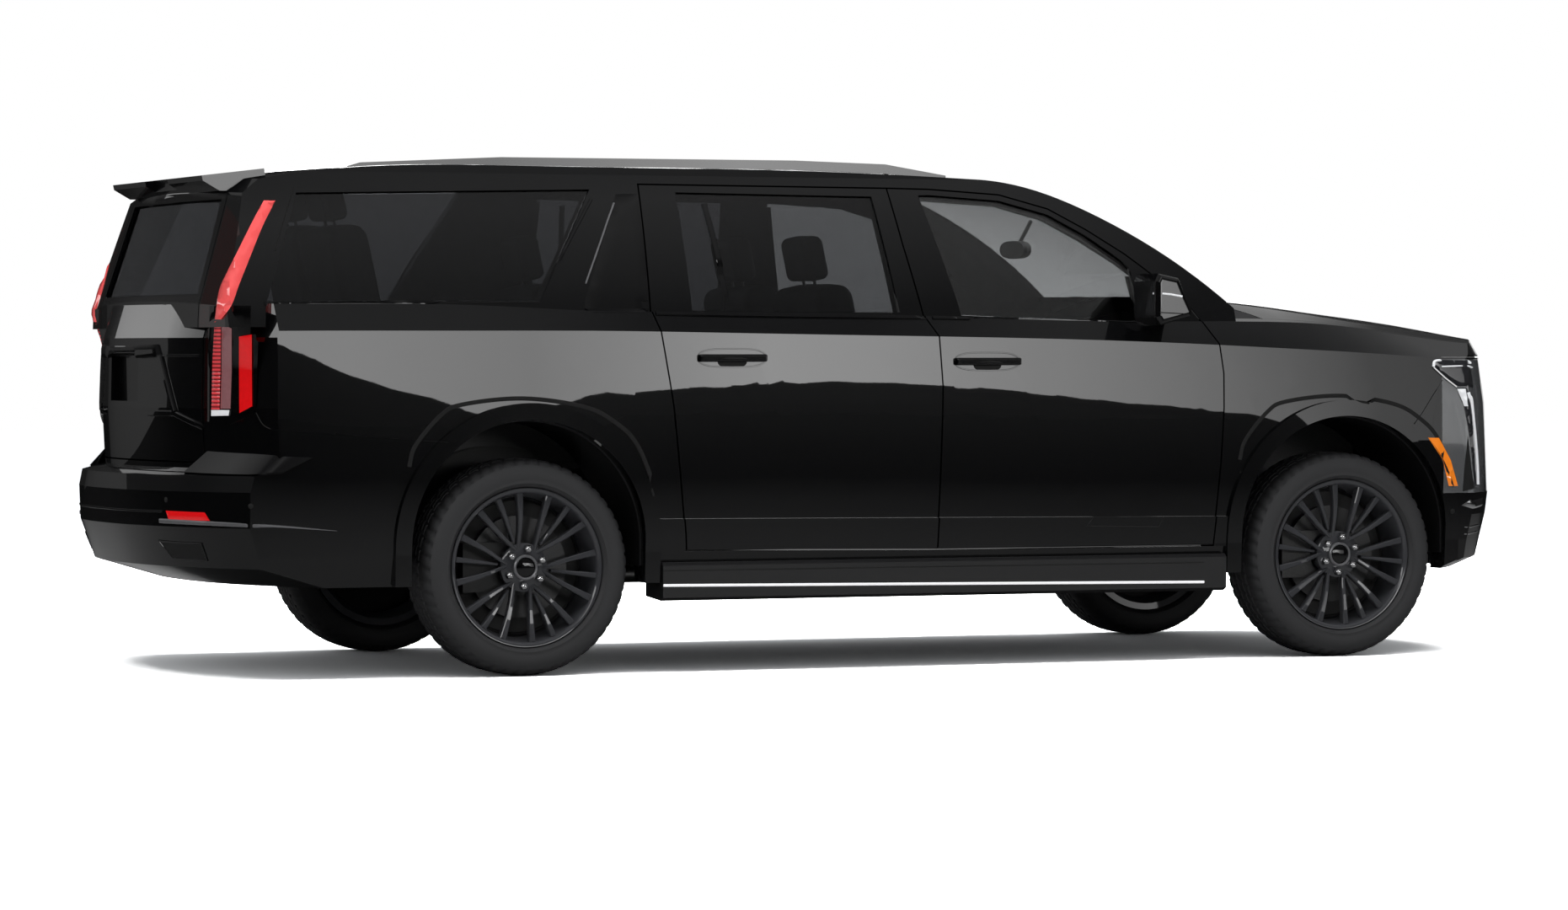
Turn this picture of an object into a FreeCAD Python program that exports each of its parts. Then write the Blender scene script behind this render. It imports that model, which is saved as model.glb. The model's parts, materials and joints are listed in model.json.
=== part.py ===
import FreeCAD, Part
import os
import re
import Sketcher

# A full-size, long-wheelbase SUV on a ladder frame.
# X runs forward, Y to the car's left and Z up. The origin is on the ground, at mid length and mid width.
# Sizes are in millimetres and degrees, and live in one sheet. Outline tables hold shares of those sizes.

SIZES = (
    # Overall
    ("wheelbase", 3407), ("front_overhang", 970), ("rear_overhang", 1360), ("body_half", 1012),
    ("roof_height", 1912), ("track_half", 865),
    # Walls and running gaps
    ("side_wall", 95), ("skin_depth", 42), ("glasshouse_wall", 52), ("glasshouse_skin", 20),
    ("end_wall", 85), ("hood_thick", 38), ("roof_thick", 48), ("shut_gap", 6), ("inner_gap", 12),
    ("door_step", 58), ("seat_gap", 0.3), ("overrun", 60),
    # Body heights and bows
    ("body_bottom", 340), ("sill_top", 455), ("glasshouse_base", 1290), ("door_bulge", 14), ("glass_bulge", 16),
    ("front_bow", 402), ("rear_bow", 300), ("windscreen_bow", 150), ("header_bow", 60), ("rear_glass_bow", 90),
    ("roof_crown", 30), ("moulding_top", 578), ("moulding_low", 462), ("moulding_stand", 9),
    # Glass
    ("glass_inset", 9), ("glass_thick", 5),
    # Wheels
    ("tyre_radius", 403), ("tyre_width", 275), ("tread_width", 226), ("sidewall_height", 122),
    ("rim_radius", 281), ("rim_flange", 296), ("rim_wall", 12), ("rim_width", 240),
    ("hub_radius", 92), ("hub_bore", 44), ("hub_depth", 60), ("face_depth", 45),
    ("spoke_thick", 30), ("spoke_foot", 9), ("spoke_waist", 10), ("spoke_tip", 18), ("spoke_taper", 2.6),
    ("disc_radius", 190), ("disc_thick", 30), ("lug_circle", 139.7), ("lug_radius", 13), ("lug_stand", 20),
    ("lug_count", 6), ("wheel_turn", 23), ("arch_radius", 457), ("arch_rise", 90), ("flare_width", 62), ("flare_stand", 16),
    ("liner_thick", 6), ("well_inner", 505),
    # Chassis
    ("rail_half", 430), ("rail_width", 80), ("rail_height", 130), ("rail_bottom", 385), ("kick_up", 90),
    ("crossmember_height", 104), ("mount_radius", 45), ("floor_height", 545), ("floor_thick", 30),
    ("floor_rise", 213), ("arm_thick", 34), ("arm_tip", 50), ("arm_base", 240), ("upright_width", 110),
    ("knuckle_height", 250), ("caliper_wall", 20), ("perch_radius", 50), ("shaft_radius", 45),
    ("engine_length", 640), ("engine_width", 620), ("engine_height", 560), ("gearbox_length", 900),
    ("gearbox_radius", 150), ("tank_length", 900), ("tank_width", 330), ("tank_height", 165),
    ("tank_drop", 40), ("tank_rounding", 40), ("pipe_radius", 38), ("pipe_offset", 273),
    ("silencer_length", 620), ("silencer_radius", 110),
    # Licence plate: recess, and the holes its plate is screwed to
    ("recess_half", 190), ("recess_low", 1016), ("recess_high", 1196), ("recess_inset", 130.5),
    ("plate_across", 177.8), ("plate_up", 120.65), ("plate_hole", 3.2), ("plate_hole_depth", 16),
    # Trim
    ("board_width", 150), ("board_top", 415), ("board_bottom", 271), ("board_bevel", 12), ("board_stand", 13),
    ("board_inset", 20), ("rail_bar", 30), ("grille_bars", 7), ("grille_rim", 34), ("spoiler_half", 617),
    ("mirror_width", 178), ("mirror_reach", 196), ("handle_length", 270),
    ("handle_rise", 28),
    # Cabin
    ("seat_width", 520), ("bench_width", 988), ("seat_depth", 540), ("seat_offset", 374), ("plinth_height", 195),
    ("cushion_height", 150), ("back_height", 640), ("back_thick", 140), ("back_rake", 12), ("head_height", 170),
    ("head_width", 250), ("wheel_ring", 190), ("wheel_grip", 14), ("steering_height", 1071),
    ("column_rake", 24), ("column_length", 295), ("column_radius", 30),
)

doc = FreeCAD.newDocument("full_size_suv")
sheet = doc.addObject("Spreadsheet::Sheet", "Sizes")
for line, (alias, value) in enumerate(SIZES, start=1):
    sheet.set("A%d" % line, alias)
    sheet.set("B%d" % line, str(value))
    sheet.setAlias("B%d" % line, alias)
doc.recompute()


class Named:
    """The sheet's cells, read by name."""

    def __getattr__(self, name):
        return float(sheet.get(name))


sz = Named()
ALIASES = {alias for alias, value in SIZES}


def cells(formula):
    """A formula with its sizes' names turned into references to the sheet."""
    return re.sub(r"[a-z][a-z_]+", lambda word: "Sizes." + word[0] if word[0] in ALIASES else word[0], formula)


def worth(formula):
    """What a formula comes to at present."""
    return float(sheet.evalExpression(cells(formula)))


V = FreeCAD.Vector
FORWARD = V(1, 0, 0)
LEFT = V(0, 1, 0)
ORIGIN = V(0, 0, 0)

length = sz.rear_overhang + sz.wheelbase + sz.front_overhang
rear_axle = sz.rear_overhang - length / 2
front_axle = rear_axle + sz.wheelbase
hub_height = sz.tyre_radius
arch_centre = hub_height + sz.arch_rise
tall = sz.roof_height + sz.overrun
outside = sz.body_half + sz.flare_stand + sz.overrun


def at(station):
    """X of a station: 0 to 1 runs over the rear overhang, 1 to 2 the wheelbase, 2 to 3 the front overhang."""
    if station < 1:
        return rear_axle - (1 - station) * sz.rear_overhang
    if station < 2:
        return rear_axle + (station - 1) * sz.wheelbase
    return front_axle + (station - 2) * sz.front_overhang


def side_points(table):
    """Points of a side view, from stations and shares of the roof's height."""
    return [V(at(station), 0, share * sz.roof_height) for station, share in table]


def closed(points):
    return Part.makePolygon(list(points) + [points[0]])


def side_prism(points, y_low, y_high):
    """A side-view outline swept across the car."""
    moved = [V(p.x, y_low, p.z) for p in points]
    return Part.Face(closed(moved)).extrude(V(0, y_high - y_low, 0))


def end_prism(points, x_low, x_high):
    """An end-view outline of (y, z) pairs swept along the car."""
    moved = [V(x_low, y, z) for y, z in points]
    return Part.Face(closed(moved)).extrude(V(x_high - x_low, 0, 0))


def box(x_low, x_high, y_low, y_high, z_low, z_high):
    return Part.makeBox(x_high - x_low, y_high - y_low, z_high - z_low, V(x_low, y_low, z_low))


def offset_outline(points, distance):
    """A closed side-view outline grown by a distance, or shrunk by a negative one."""
    flat = Part.Face(closed([V(p.x, p.z, 0) for p in points]))
    grown = flat.makeOffset2D(distance, join=2)
    ring = [v.Point for v in grown.Wires[0].OrderedVertexes]
    return [V(p.x, 0, p.y) for p in ring]


def mirrored(shape):
    return shape.mirror(ORIGIN, LEFT)


# The outer form. Each row: station, then half widths at sill, door foot, crease and belt as shares of
# body_half, then the heights of crease, belt and centre line as shares of roof_height.
body_section_shares = (
    (-0.10, 0.915, 0.945, 0.970, 0.660, 0.920, 0.7190, 0.7200),
    (0.12, 0.945, 0.968, 0.987, 0.6655, 0.938, 0.7195, 0.7205),
    (0.40, 0.962, 0.981, 0.996, 0.668, 0.947, 0.7197, 0.7210),
    (0.80, 0.965, 0.985, 0.999, 0.6684, 0.949, 0.7190, 0.7200),
    (1.15, 0.965, 0.985, 1.000, 0.6674, 0.949, 0.7060, 0.7080),
    (1.49, 0.965, 0.985, 1.000, 0.6585, 0.949, 0.6990, 0.7010),
    (1.80, 0.965, 0.985, 1.000, 0.6449, 0.936, 0.6900, 0.7080),
    (1.92, 0.962, 0.983, 0.999, 0.6355, 0.900, 0.6900, 0.7385),
    (2.00, 0.958, 0.981, 0.996, 0.6287, 0.880, 0.6840, 0.7330),
    (2.30, 0.950, 0.975, 0.990, 0.6198, 0.870, 0.6660, 0.7165),
    (2.60, 0.940, 0.965, 0.975, 0.6119, 0.860, 0.6480, 0.6950),
    (3.10, 0.900, 0.930, 0.945, 0.6000, 0.840, 0.6220, 0.6600),
)
# Nose and tail on the centre line: how far in from the bumper's tip, as shares of the overhang, and height.
nose_shares = (
    (0.420, 0.100), (0.250, 0.163), (0.060, 0.199), (0.012, 0.290), (0.000, 0.335), (0.016, 0.523),
    (0.046, 0.622), (0.085, 0.652), (0.170, 0.676), (0.420, 0.760),
)
tail_shares = (
    (0.420, 0.100), (0.250, 0.172), (0.045, 0.215), (0.004, 0.293), (0.000, 0.361), (0.009, 0.392),
    (0.076, 0.405), (0.068, 0.520), (0.072, 0.655), (0.098, 0.720), (0.150, 0.900),
)
nose_power = 2.7
tail_power = 2.4
bow_stops_share = (-1.06, -0.93, -0.78, -0.55, -0.25, 0.0, 0.25, 0.55, 0.78, 0.93, 1.06)


def bow(start, middle, end):
    """A shallow parabola from start to end through a middle point."""
    curve = Part.BezierCurve()
    curve.setPoles([start, middle * 2 - (start + end) * 0.5, end])
    return curve


def body_section(row, side, top):
    """One cross-section of the lower body, taken in by the wall at its sides and top."""
    station, sill, foot, crease, crease_z, belt, belt_z, centre_z = row
    x = at(station)
    low = sz.body_bottom if side == 0 else 0
    crease_h = crease_z * sz.roof_height
    belt_h = belt_z * sz.roof_height - top
    half = sz.body_half
    mid_y = half * (foot + crease) / 2 + sz.door_bulge - side
    mid_h = (sz.sill_top + crease_h) / 2
    p_sill = V(x, half * sill - side, low)
    p_foot = V(x, half * foot - side, sz.sill_top)
    p_crease = V(x, half * crease - side, crease_h)
    p_belt = V(x, half * belt - side, belt_h)
    p_top = V(x, 0, centre_z * sz.roof_height - top)

    def other(p):
        return V(p.x, -p.y, p.z)

    mid = V(x, mid_y, mid_h)
    edges = [
        Part.LineSegment(other(p_sill), p_sill),
        Part.LineSegment(p_sill, p_foot),
        bow(p_foot, mid, p_crease),
        Part.LineSegment(p_crease, p_belt),
        bow(p_belt, p_top, other(p_belt)),
        Part.LineSegment(other(p_belt), other(p_crease)),
        bow(other(p_crease), other(mid), other(p_foot)),
        Part.LineSegment(other(p_foot), other(p_sill)),
    ]
    return Part.Wire([e.toShape() for e in edges])


def bowed_profile(y, inset):
    """The side profile of nose and tail at a distance from the centre line, where both sweep back."""
    share = abs(y) / sz.body_half
    nose_x = length / 2 - sz.front_bow * share ** nose_power - inset
    tail_x = -length / 2 + sz.rear_bow * share ** tail_power + inset
    nose = [V(nose_x - a * sz.front_overhang, y, b * sz.roof_height) for a, b in nose_shares]
    tail = [V(tail_x + a * sz.rear_overhang, y, b * sz.roof_height) for a, b in tail_shares]
    return closed(nose + tail[::-1])


def lower_body(side, top, end):
    """The lower body as a solid: sections along the car, trimmed by the bowed nose and tail."""
    hull = Part.makeLoft([body_section(row, side, top) for row in body_section_shares], True, False)
    ends = Part.makeLoft([bowed_profile(s * sz.body_half, end) for s in bow_stops_share], True, False)
    return hull.common(ends)


# Glasshouse rows: station, then half widths at the belt and at the roof's edge, as shares of body_half.
glasshouse_shares = (
    (0.02, 0.925, 0.690), (0.35, 0.942, 0.722), (0.80, 0.949, 0.735), (1.30, 0.950, 0.740),
    (1.60, 0.948, 0.738), (1.82, 0.925, 0.712), (1.95, 0.880, 0.670),
)
# Side profile of the glasshouse on the centre line: station and height share.
glasshouse_profile_shares = {
    "base": ((0.110, 0.60), (0.112, 0.727)),
    "rear": ((0.208, 0.941),),
    "roof": ((0.260, 0.968), (0.55, 0.992), (1.05, 1.000), (1.35, 0.998), (1.572, 0.986)),
    "screen": ((1.652, 0.965), (1.731, 0.914), (1.825, 0.828), (1.907, 0.730)),
    "cowl": ((1.915, 0.60),),
}


def glasshouse_section(row, side, base):
    """One cross-section of the glasshouse, open upwards past the roof."""
    station, belt, edge = row
    x = at(station)
    belt_y = sz.body_half * belt - side
    edge_y = sz.body_half * edge - side
    edge_h = 0.976 * sz.roof_height
    mid = V(x, (belt_y + edge_y) / 2 + sz.glass_bulge, (base + edge_h) / 2)
    p_belt = V(x, belt_y, base)
    p_edge = V(x, edge_y, edge_h)
    p_top = V(x, edge_y - sz.overrun, tall + sz.overrun)

    def other(p):
        return V(p.x, -p.y, p.z)

    edges = [
        Part.LineSegment(other(p_belt), p_belt),
        bow(p_belt, mid, p_edge),
        Part.LineSegment(p_edge, p_top),
        Part.LineSegment(p_top, other(p_top)),
        Part.LineSegment(other(p_top), other(p_edge)),
        bow(other(p_edge), other(mid), other(p_belt)),
    ]
    return Part.Wire([e.toShape() for e in edges])


def spline(points):
    curve = Part.BSplineCurve()
    curve.interpolate(points)
    return curve.toShape()


def glasshouse_profile(y, front, rear, top, base_drop):
    """The glasshouse's side profile at a distance from the centre line, taken in by its walls."""
    share = (y / sz.body_half) ** 2
    crown = sz.roof_crown * share + top

    def spot(pair, bow, inset):
        station, height = pair
        return V(at(station) - bow * share - inset, y, height * sz.roof_height - crown)

    rows = glasshouse_profile_shares
    base = [spot(p, -sz.rear_glass_bow, -rear) for p in rows["base"]]
    base[0].z = base[0].z - base_drop
    top_rear = spot(rows["rear"][0], -sz.rear_glass_bow, -rear)
    roof = [spot(rows["roof"][0], -sz.rear_glass_bow, -rear)]
    roof += [spot(p, 0, 0) for p in rows["roof"][1:-1]]
    roof += [spot(rows["roof"][-1], sz.header_bow, front)]
    stops = len(rows["screen"])
    screen = []
    for i, pair in enumerate(rows["screen"], start=1):
        bow = sz.header_bow + (sz.windscreen_bow - sz.header_bow) * i / stops
        screen.append(spot(pair, bow, front))
    cowl = spot(rows["cowl"][0], sz.windscreen_bow, front)
    cowl.z = cowl.z - base_drop
    edges = [
        Part.LineSegment(base[0], base[1]).toShape(),
        Part.LineSegment(base[1], top_rear).toShape(),
        Part.LineSegment(top_rear, roof[0]).toShape(),
        spline(roof),
        spline([roof[-1]] + screen),
        Part.LineSegment(screen[-1], cowl).toShape(),
        Part.LineSegment(cowl, base[0]).toShape(),
    ]
    return Part.Wire(edges)


def glasshouse(side, top, front, rear, base, base_drop=0):
    low = base - base_drop
    hull = Part.makeLoft([glasshouse_section(row, side, low) for row in glasshouse_shares], True, False)
    stops = [s * sz.body_half for s in (-1.0, -0.6, 0.0, 0.6, 1.0)]
    profile = Part.makeLoft([glasshouse_profile(y, front, rear, top, base_drop) for y in stops], True, False)
    return hull.common(profile)


# Side-view outlines, as stations and shares of roof_height.
front_door_shares = (
    (1.4858, 0.2354), (1.8295, 0.2354), (1.8374, 0.4001), (1.8409, 0.5141), (1.8409, 0.5842), (1.8359, 0.6459),
    (1.8233, 0.6935), (1.8039, 0.7380), (1.7878, 0.7600), (1.7631, 0.7924), (1.7373, 0.8264), (1.6933, 0.8750),
    (1.6493, 0.9168), (1.5906, 0.9446), (1.5037, 0.9540), (1.4535, 0.9550), (1.4617, 0.8436), (1.4761, 0.6967),
    (1.4869, 0.6585), (1.4908, 0.5549),
)
rear_door_shares = (
    (1.1840, 0.2416), (1.4858, 0.2354), (1.4908, 0.5549), (1.4869, 0.6585), (1.4761, 0.6967), (1.4617, 0.8436),
    (1.4535, 0.9550), (1.1541, 0.9566), (1.1488, 0.7071), (1.1538, 0.6679), (1.1676, 0.5251), (1.1830, 0.2700),
)
front_window_shares = (
    (1.5219, 0.7008), (1.4899, 0.9430), (1.5037, 0.9440), (1.5897, 0.9341), (1.6478, 0.9069), (1.6915, 0.8651),
    (1.7330, 0.8140), (1.7420, 0.7960), (1.7500, 0.6862),
)
rear_window_shares = ((1.1972, 0.7087), (1.1961, 0.9430), (1.4321, 0.9393), (1.4464, 0.7061))
quarter_window_shares = (
    (0.2794, 0.7230), (0.3956, 0.9336), (1.0000, 0.9430), (1.0951, 0.9467), (1.0203, 0.7250))
front_bumper_shares = (
    (2.3950, 0.4450), (2.4570, 0.6015), (2.4570, 0.6170), (3.1500, 0.6170), (3.1500, 0.1000), (2.3300, 0.1000),
    (2.3300, 0.4450),
)
rear_bumper_shares = (
    (0.7900, 0.4530), (0.2838, 0.4796), (0.2550, 0.4160), (-0.1500, 0.4160), (-0.1500, 0.1000), (0.7900, 0.1000),
)
fender_shares = (
    (1.8295, 0.1000), (1.8295, 0.2354), (1.8374, 0.4001), (1.8409, 0.5141), (1.8409, 0.5842), (1.8359, 0.6459),
    (1.8233, 0.6935), (1.8260, 0.7060), (1.9080, 0.7300), (1.9170, 0.9000), (2.8000, 0.9000), (2.8000, 0.1000),
)
# End-view outlines, as shares of body_half and of roof_height.
tailgate_half_shares = ((0.666, 0.418), (0.666, 0.690), (0.674, 0.725), (0.630, 0.930), (0.610, 1.060))
tail_window_half_shares = ((0.636, 0.738), (0.588, 0.922))
tail_lamp_shares = (
    (-0.680, 0.494), (-0.680, 0.690), (-0.688, 0.725), (-0.648, 0.926), (-0.775, 0.926), (-0.865, 0.780),
    (-0.905, 0.680), (-0.890, 0.494),
)
windscreen_half_shares = ((0.775, 0.741), (0.630, 0.968))
headlamp_shares = (
    (-0.500, 0.612), (-0.500, 0.563), (-0.800, 0.563), (-0.835, 0.335), (-1.100, 0.335), (-1.100, 0.612),
)
rail_path_shares = (
    (2.78, 1.0), (1.97, 1.0), (1.87, 0.0), (1.16, 0.0), (1.04, 1.0), (0.15, 1.0),
)
floor_path_shares = ((1.848, 0.0), (1.180, 0.0), (1.140, 1.0), (0.085, 1.0))
rail_bar_shares = (
    (0.49, 0.972), (0.60, 0.9950), (1.00, 1.0090), (1.35, 1.0110), (1.46, 1.0060), (1.535, 0.985))
crossmember_shares = (
    (2.70, 1.0), (2.50, 1.0), (1.64, 0.0), (1.50, 0.0), (1.17, 0.0), (0.80, 1.80), (0.19, 1.0))
hood_half_share = 0.84
hood_rear_share = 1.917
hood_low_share = 0.619
hinge_share = 0.3676
roof_half_share = 0.712
roof_low_share = 0.955
grille_half_share = 0.485
grille_low_share = 0.335
lamp_share = 2.4536
body_mount_shares = (1.30, 1.55, 1.78)
dashboard_shares = (
    (1.8478, 0.400), (1.8478, 0.664), (1.810, 0.672), (1.735, 0.655), (1.705, 0.600), (1.720, 0.500), (1.760, 0.400),
)
spoiler_shares = (
    (0.345, 0.965), (0.340, 0.982), (0.165, 0.967), (0.168, 0.957), (0.215, 0.938), (0.245, 0.938),
)
spoiler_notch_share = 0.195
handle_shares = {"front": (1.5445, 0.609), "rear": (1.236, 0.616)}
mirror_shares = (
    (1.7305, 0.6970), (1.7305, 0.7700), (1.7350, 0.7855), (1.7600, 0.7765), (1.7690, 0.7400), (1.7780, 0.7090),
    (1.7750, 0.6975), (1.7370, 0.6810),
)
# Where regions stop along the car, as stations.
stop_shares = {
    "nose": 3.15, "tail": -0.15, "tail_glass": 0.34, "tail_lamp": 0.225, "screen_foot": 1.916, "screen_front": 1.93,
    "screen_rear": 1.50, "roof_front": 1.70, "grille": 2.60, "bulkhead_rear": 1.848, "bulkhead_front": 1.863,
}


def end_points(shares):
    return [(y * sz.body_half, z * sz.roof_height) for y, z in shares]


def both_sides(half_shares):
    """A symmetric end-view outline from its right half, listed from the bottom up."""
    half = end_points(half_shares)
    return [(-y, z) for y, z in half] + [(y, z) for y, z in half[::-1]]


def grown(pairs, distance):
    """A closed outline of pairs, grown by a distance."""
    ring = offset_outline([V(a, 0, b) for a, b in pairs], distance)
    return [(p.x, p.z) for p in ring]


def arch_outline(axle, margin):
    """A wheel arch seen from the side: a half circle on straight legs, grown by a margin."""
    radius = sz.arch_radius + margin
    foot = -sz.overrun
    crown = Part.Arc(
        V(axle - radius, 0, arch_centre), V(axle, 0, arch_centre + radius), V(axle + radius, 0, arch_centre))
    legs = [
        Part.LineSegment(V(axle - radius, 0, foot), V(axle - radius, 0, arch_centre)),
        crown,
        Part.LineSegment(V(axle + radius, 0, arch_centre), V(axle + radius, 0, foot)),
        Part.LineSegment(V(axle + radius, 0, foot), V(axle - radius, 0, foot)),
    ]
    return Part.Wire([e.toShape() for e in legs])


def arch_prism(axle, margin, y_low, y_high):
    face = Part.Face(arch_outline(axle, margin))
    face.translate(V(0, y_low, 0))
    return face.extrude(V(0, y_high - y_low, 0))


AXLES = (rear_axle, front_axle)


def outer_form(grow, glass_grow):
    """The whole closed outer form, taken in by a skin depth all round."""
    low = lower_body(grow, grow, grow)
    high = glasshouse(glass_grow, glass_grow, glass_grow, glass_grow, sz.glasshouse_base)
    return low.fuse(high)


def flares():
    """Raised lips round the four arches, standing proud of the body's side."""
    proud = lower_body(-sz.flare_stand, 0, 0)
    bands = []
    for axle in AXLES:
        for low, high in ((-outside, -sz.well_inner), (sz.well_inner, outside)):
            band = arch_prism(axle, sz.flare_width, low, high).cut(arch_prism(axle, 0, low, high))
            bands.append(band.common(box(axle - length, axle + length, low, high, sz.body_bottom, tall)))
    return proud.common(Part.makeCompound(bands))


def mouldings():
    """Low mouldings along the doors' feet, between the flares."""
    proud = lower_body(-sz.moulding_stand, 0, 0)
    start = rear_axle + sz.arch_radius + sz.flare_width / 2
    stop = front_axle - sz.arch_radius - sz.flare_width / 2
    slope = sz.moulding_stand * 2
    side = [
        V(start, 0, sz.moulding_low), V(stop, 0, sz.moulding_low - slope), V(stop, 0, sz.moulding_top - slope),
        V(start, 0, sz.moulding_top),
    ]
    flanks = ((-outside, -sz.well_inner), (sz.well_inner, outside))
    bands = [side_prism(side, low, high) for low, high in flanks]
    return proud.common(Part.makeCompound(bands))


outer = outer_form(0, 0).fuse([flares(), mouldings()])
wall = sz.glasshouse_wall
cavity_low = lower_body(sz.side_wall, sz.hood_thick, sz.end_wall)
cavity = cavity_low.fuse(glasshouse(wall, sz.roof_thick, wall, wall, sz.glasshouse_base, sz.side_wall))
room_wall = wall + sz.seat_gap
room_low = lower_body(sz.side_wall + sz.seat_gap, sz.hood_thick + sz.seat_gap, sz.end_wall + sz.seat_gap)
room = room_low.fuse(
    glasshouse(room_wall, sz.roof_thick + sz.seat_gap, room_wall, room_wall, sz.glasshouse_base, sz.side_wall))
skin_back = outer_form(sz.skin_depth, sz.glasshouse_skin)
skin_back_clear = outer_form(sz.skin_depth + sz.shut_gap, sz.glasshouse_skin + sz.shut_gap)
outer_grown = outer_form(-sz.seat_gap, -sz.seat_gap)
near = sz.glass_inset
deep = sz.glass_inset + sz.glass_thick
glass_layer = glasshouse(near, near, near, near, sz.glasshouse_base)
glass_layer = glass_layer.cut(glasshouse(deep, deep, deep, deep, sz.glasshouse_base, sz.overrun))


def side_region(shares, y_low, y_high):
    """The room inside a side-view outline, as a function of a margin."""
    points = side_points(shares)
    return lambda margin: side_prism(offset_outline(points, margin), y_low - margin, y_high + margin)


def end_region(pairs, x_low, x_high):
    """The room inside an end-view outline, as a function of a margin."""
    return lambda margin: end_prism(grown(pairs, margin), x_low - margin, x_high + margin)


def box_region(x_low, x_high, half, z_low, z_high):
    """A box astride the centre line, as a function of a margin."""
    return lambda m: box(x_low - m, x_high + m, -half - m, half + m, z_low - m, z_high + m)


class Shell:
    """The body's shell and the rooms its panels take, in order: a later panel gives way to an earlier one."""

    def __init__(self, shape):
        self.whole = shape
        self.right = shape.common(box(-length, length, -outside, 0, 0, tall + sz.overrun))
        self.taken = []

    def panel(self, region, gap, from_right=False):
        """The part of the shell inside a region, short of the panels taken before it."""
        base = self.right if from_right else self.whole
        tool = region(0)
        near_ones = [t for t in self.taken if t.BoundBox.intersect(tool.BoundBox)]
        if near_ones:
            tool = tool.cut(near_ones)
        self.taken.append(region(gap))
        return base.common(tool)

    def door(self, outline, y_low, y_high):
        """A door: its skin laps over the opening's step, and its inner part stands inside it."""
        inner = offset_outline(outline, -sz.door_step)
        local = self.right.common(side_prism(outline, y_low, y_high))
        face = local.cut(skin_back)
        body = local.common(side_prism(inner, y_low, y_high))
        step = side_prism(offset_outline(outline, sz.shut_gap), y_low, y_high).cut(skin_back_clear)
        hole = side_prism(offset_outline(inner, sz.inner_gap), y_low, y_high)
        self.taken += [step, hole]
        return face.fuse(body).removeSplitter()

    def rest_of_right(self):
        """What no panel took of the right-hand side."""
        return self.right.cut(self.taken)


parts = {}


def keep(name, shape, spot=ORIGIN):
    """Puts one sub-part into the document under its own name."""
    solids = shape.Solids
    largest = max(s.Volume for s in solids)
    sliver_share = 0.0005
    solids = [s for s in solids if s.Volume > sliver_share * largest]
    item = doc.addObject("Part::Feature", name)
    item.Label = name
    item.Shape = solids[0] if len(solids) == 1 else Part.makeCompound(solids)
    item.Placement = FreeCAD.Placement(spot, FreeCAD.Rotation())
    parts[name] = item
    return item


def stop(name):
    """X of a named stop along the car."""
    return at(stop_shares[name])


def both(shape):
    """A right-hand piece with its mirror image on the left."""
    return Part.makeCompound([shape, mirrored(shape)])


def pane(tool):
    return glass_layer.common(tool)


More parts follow.
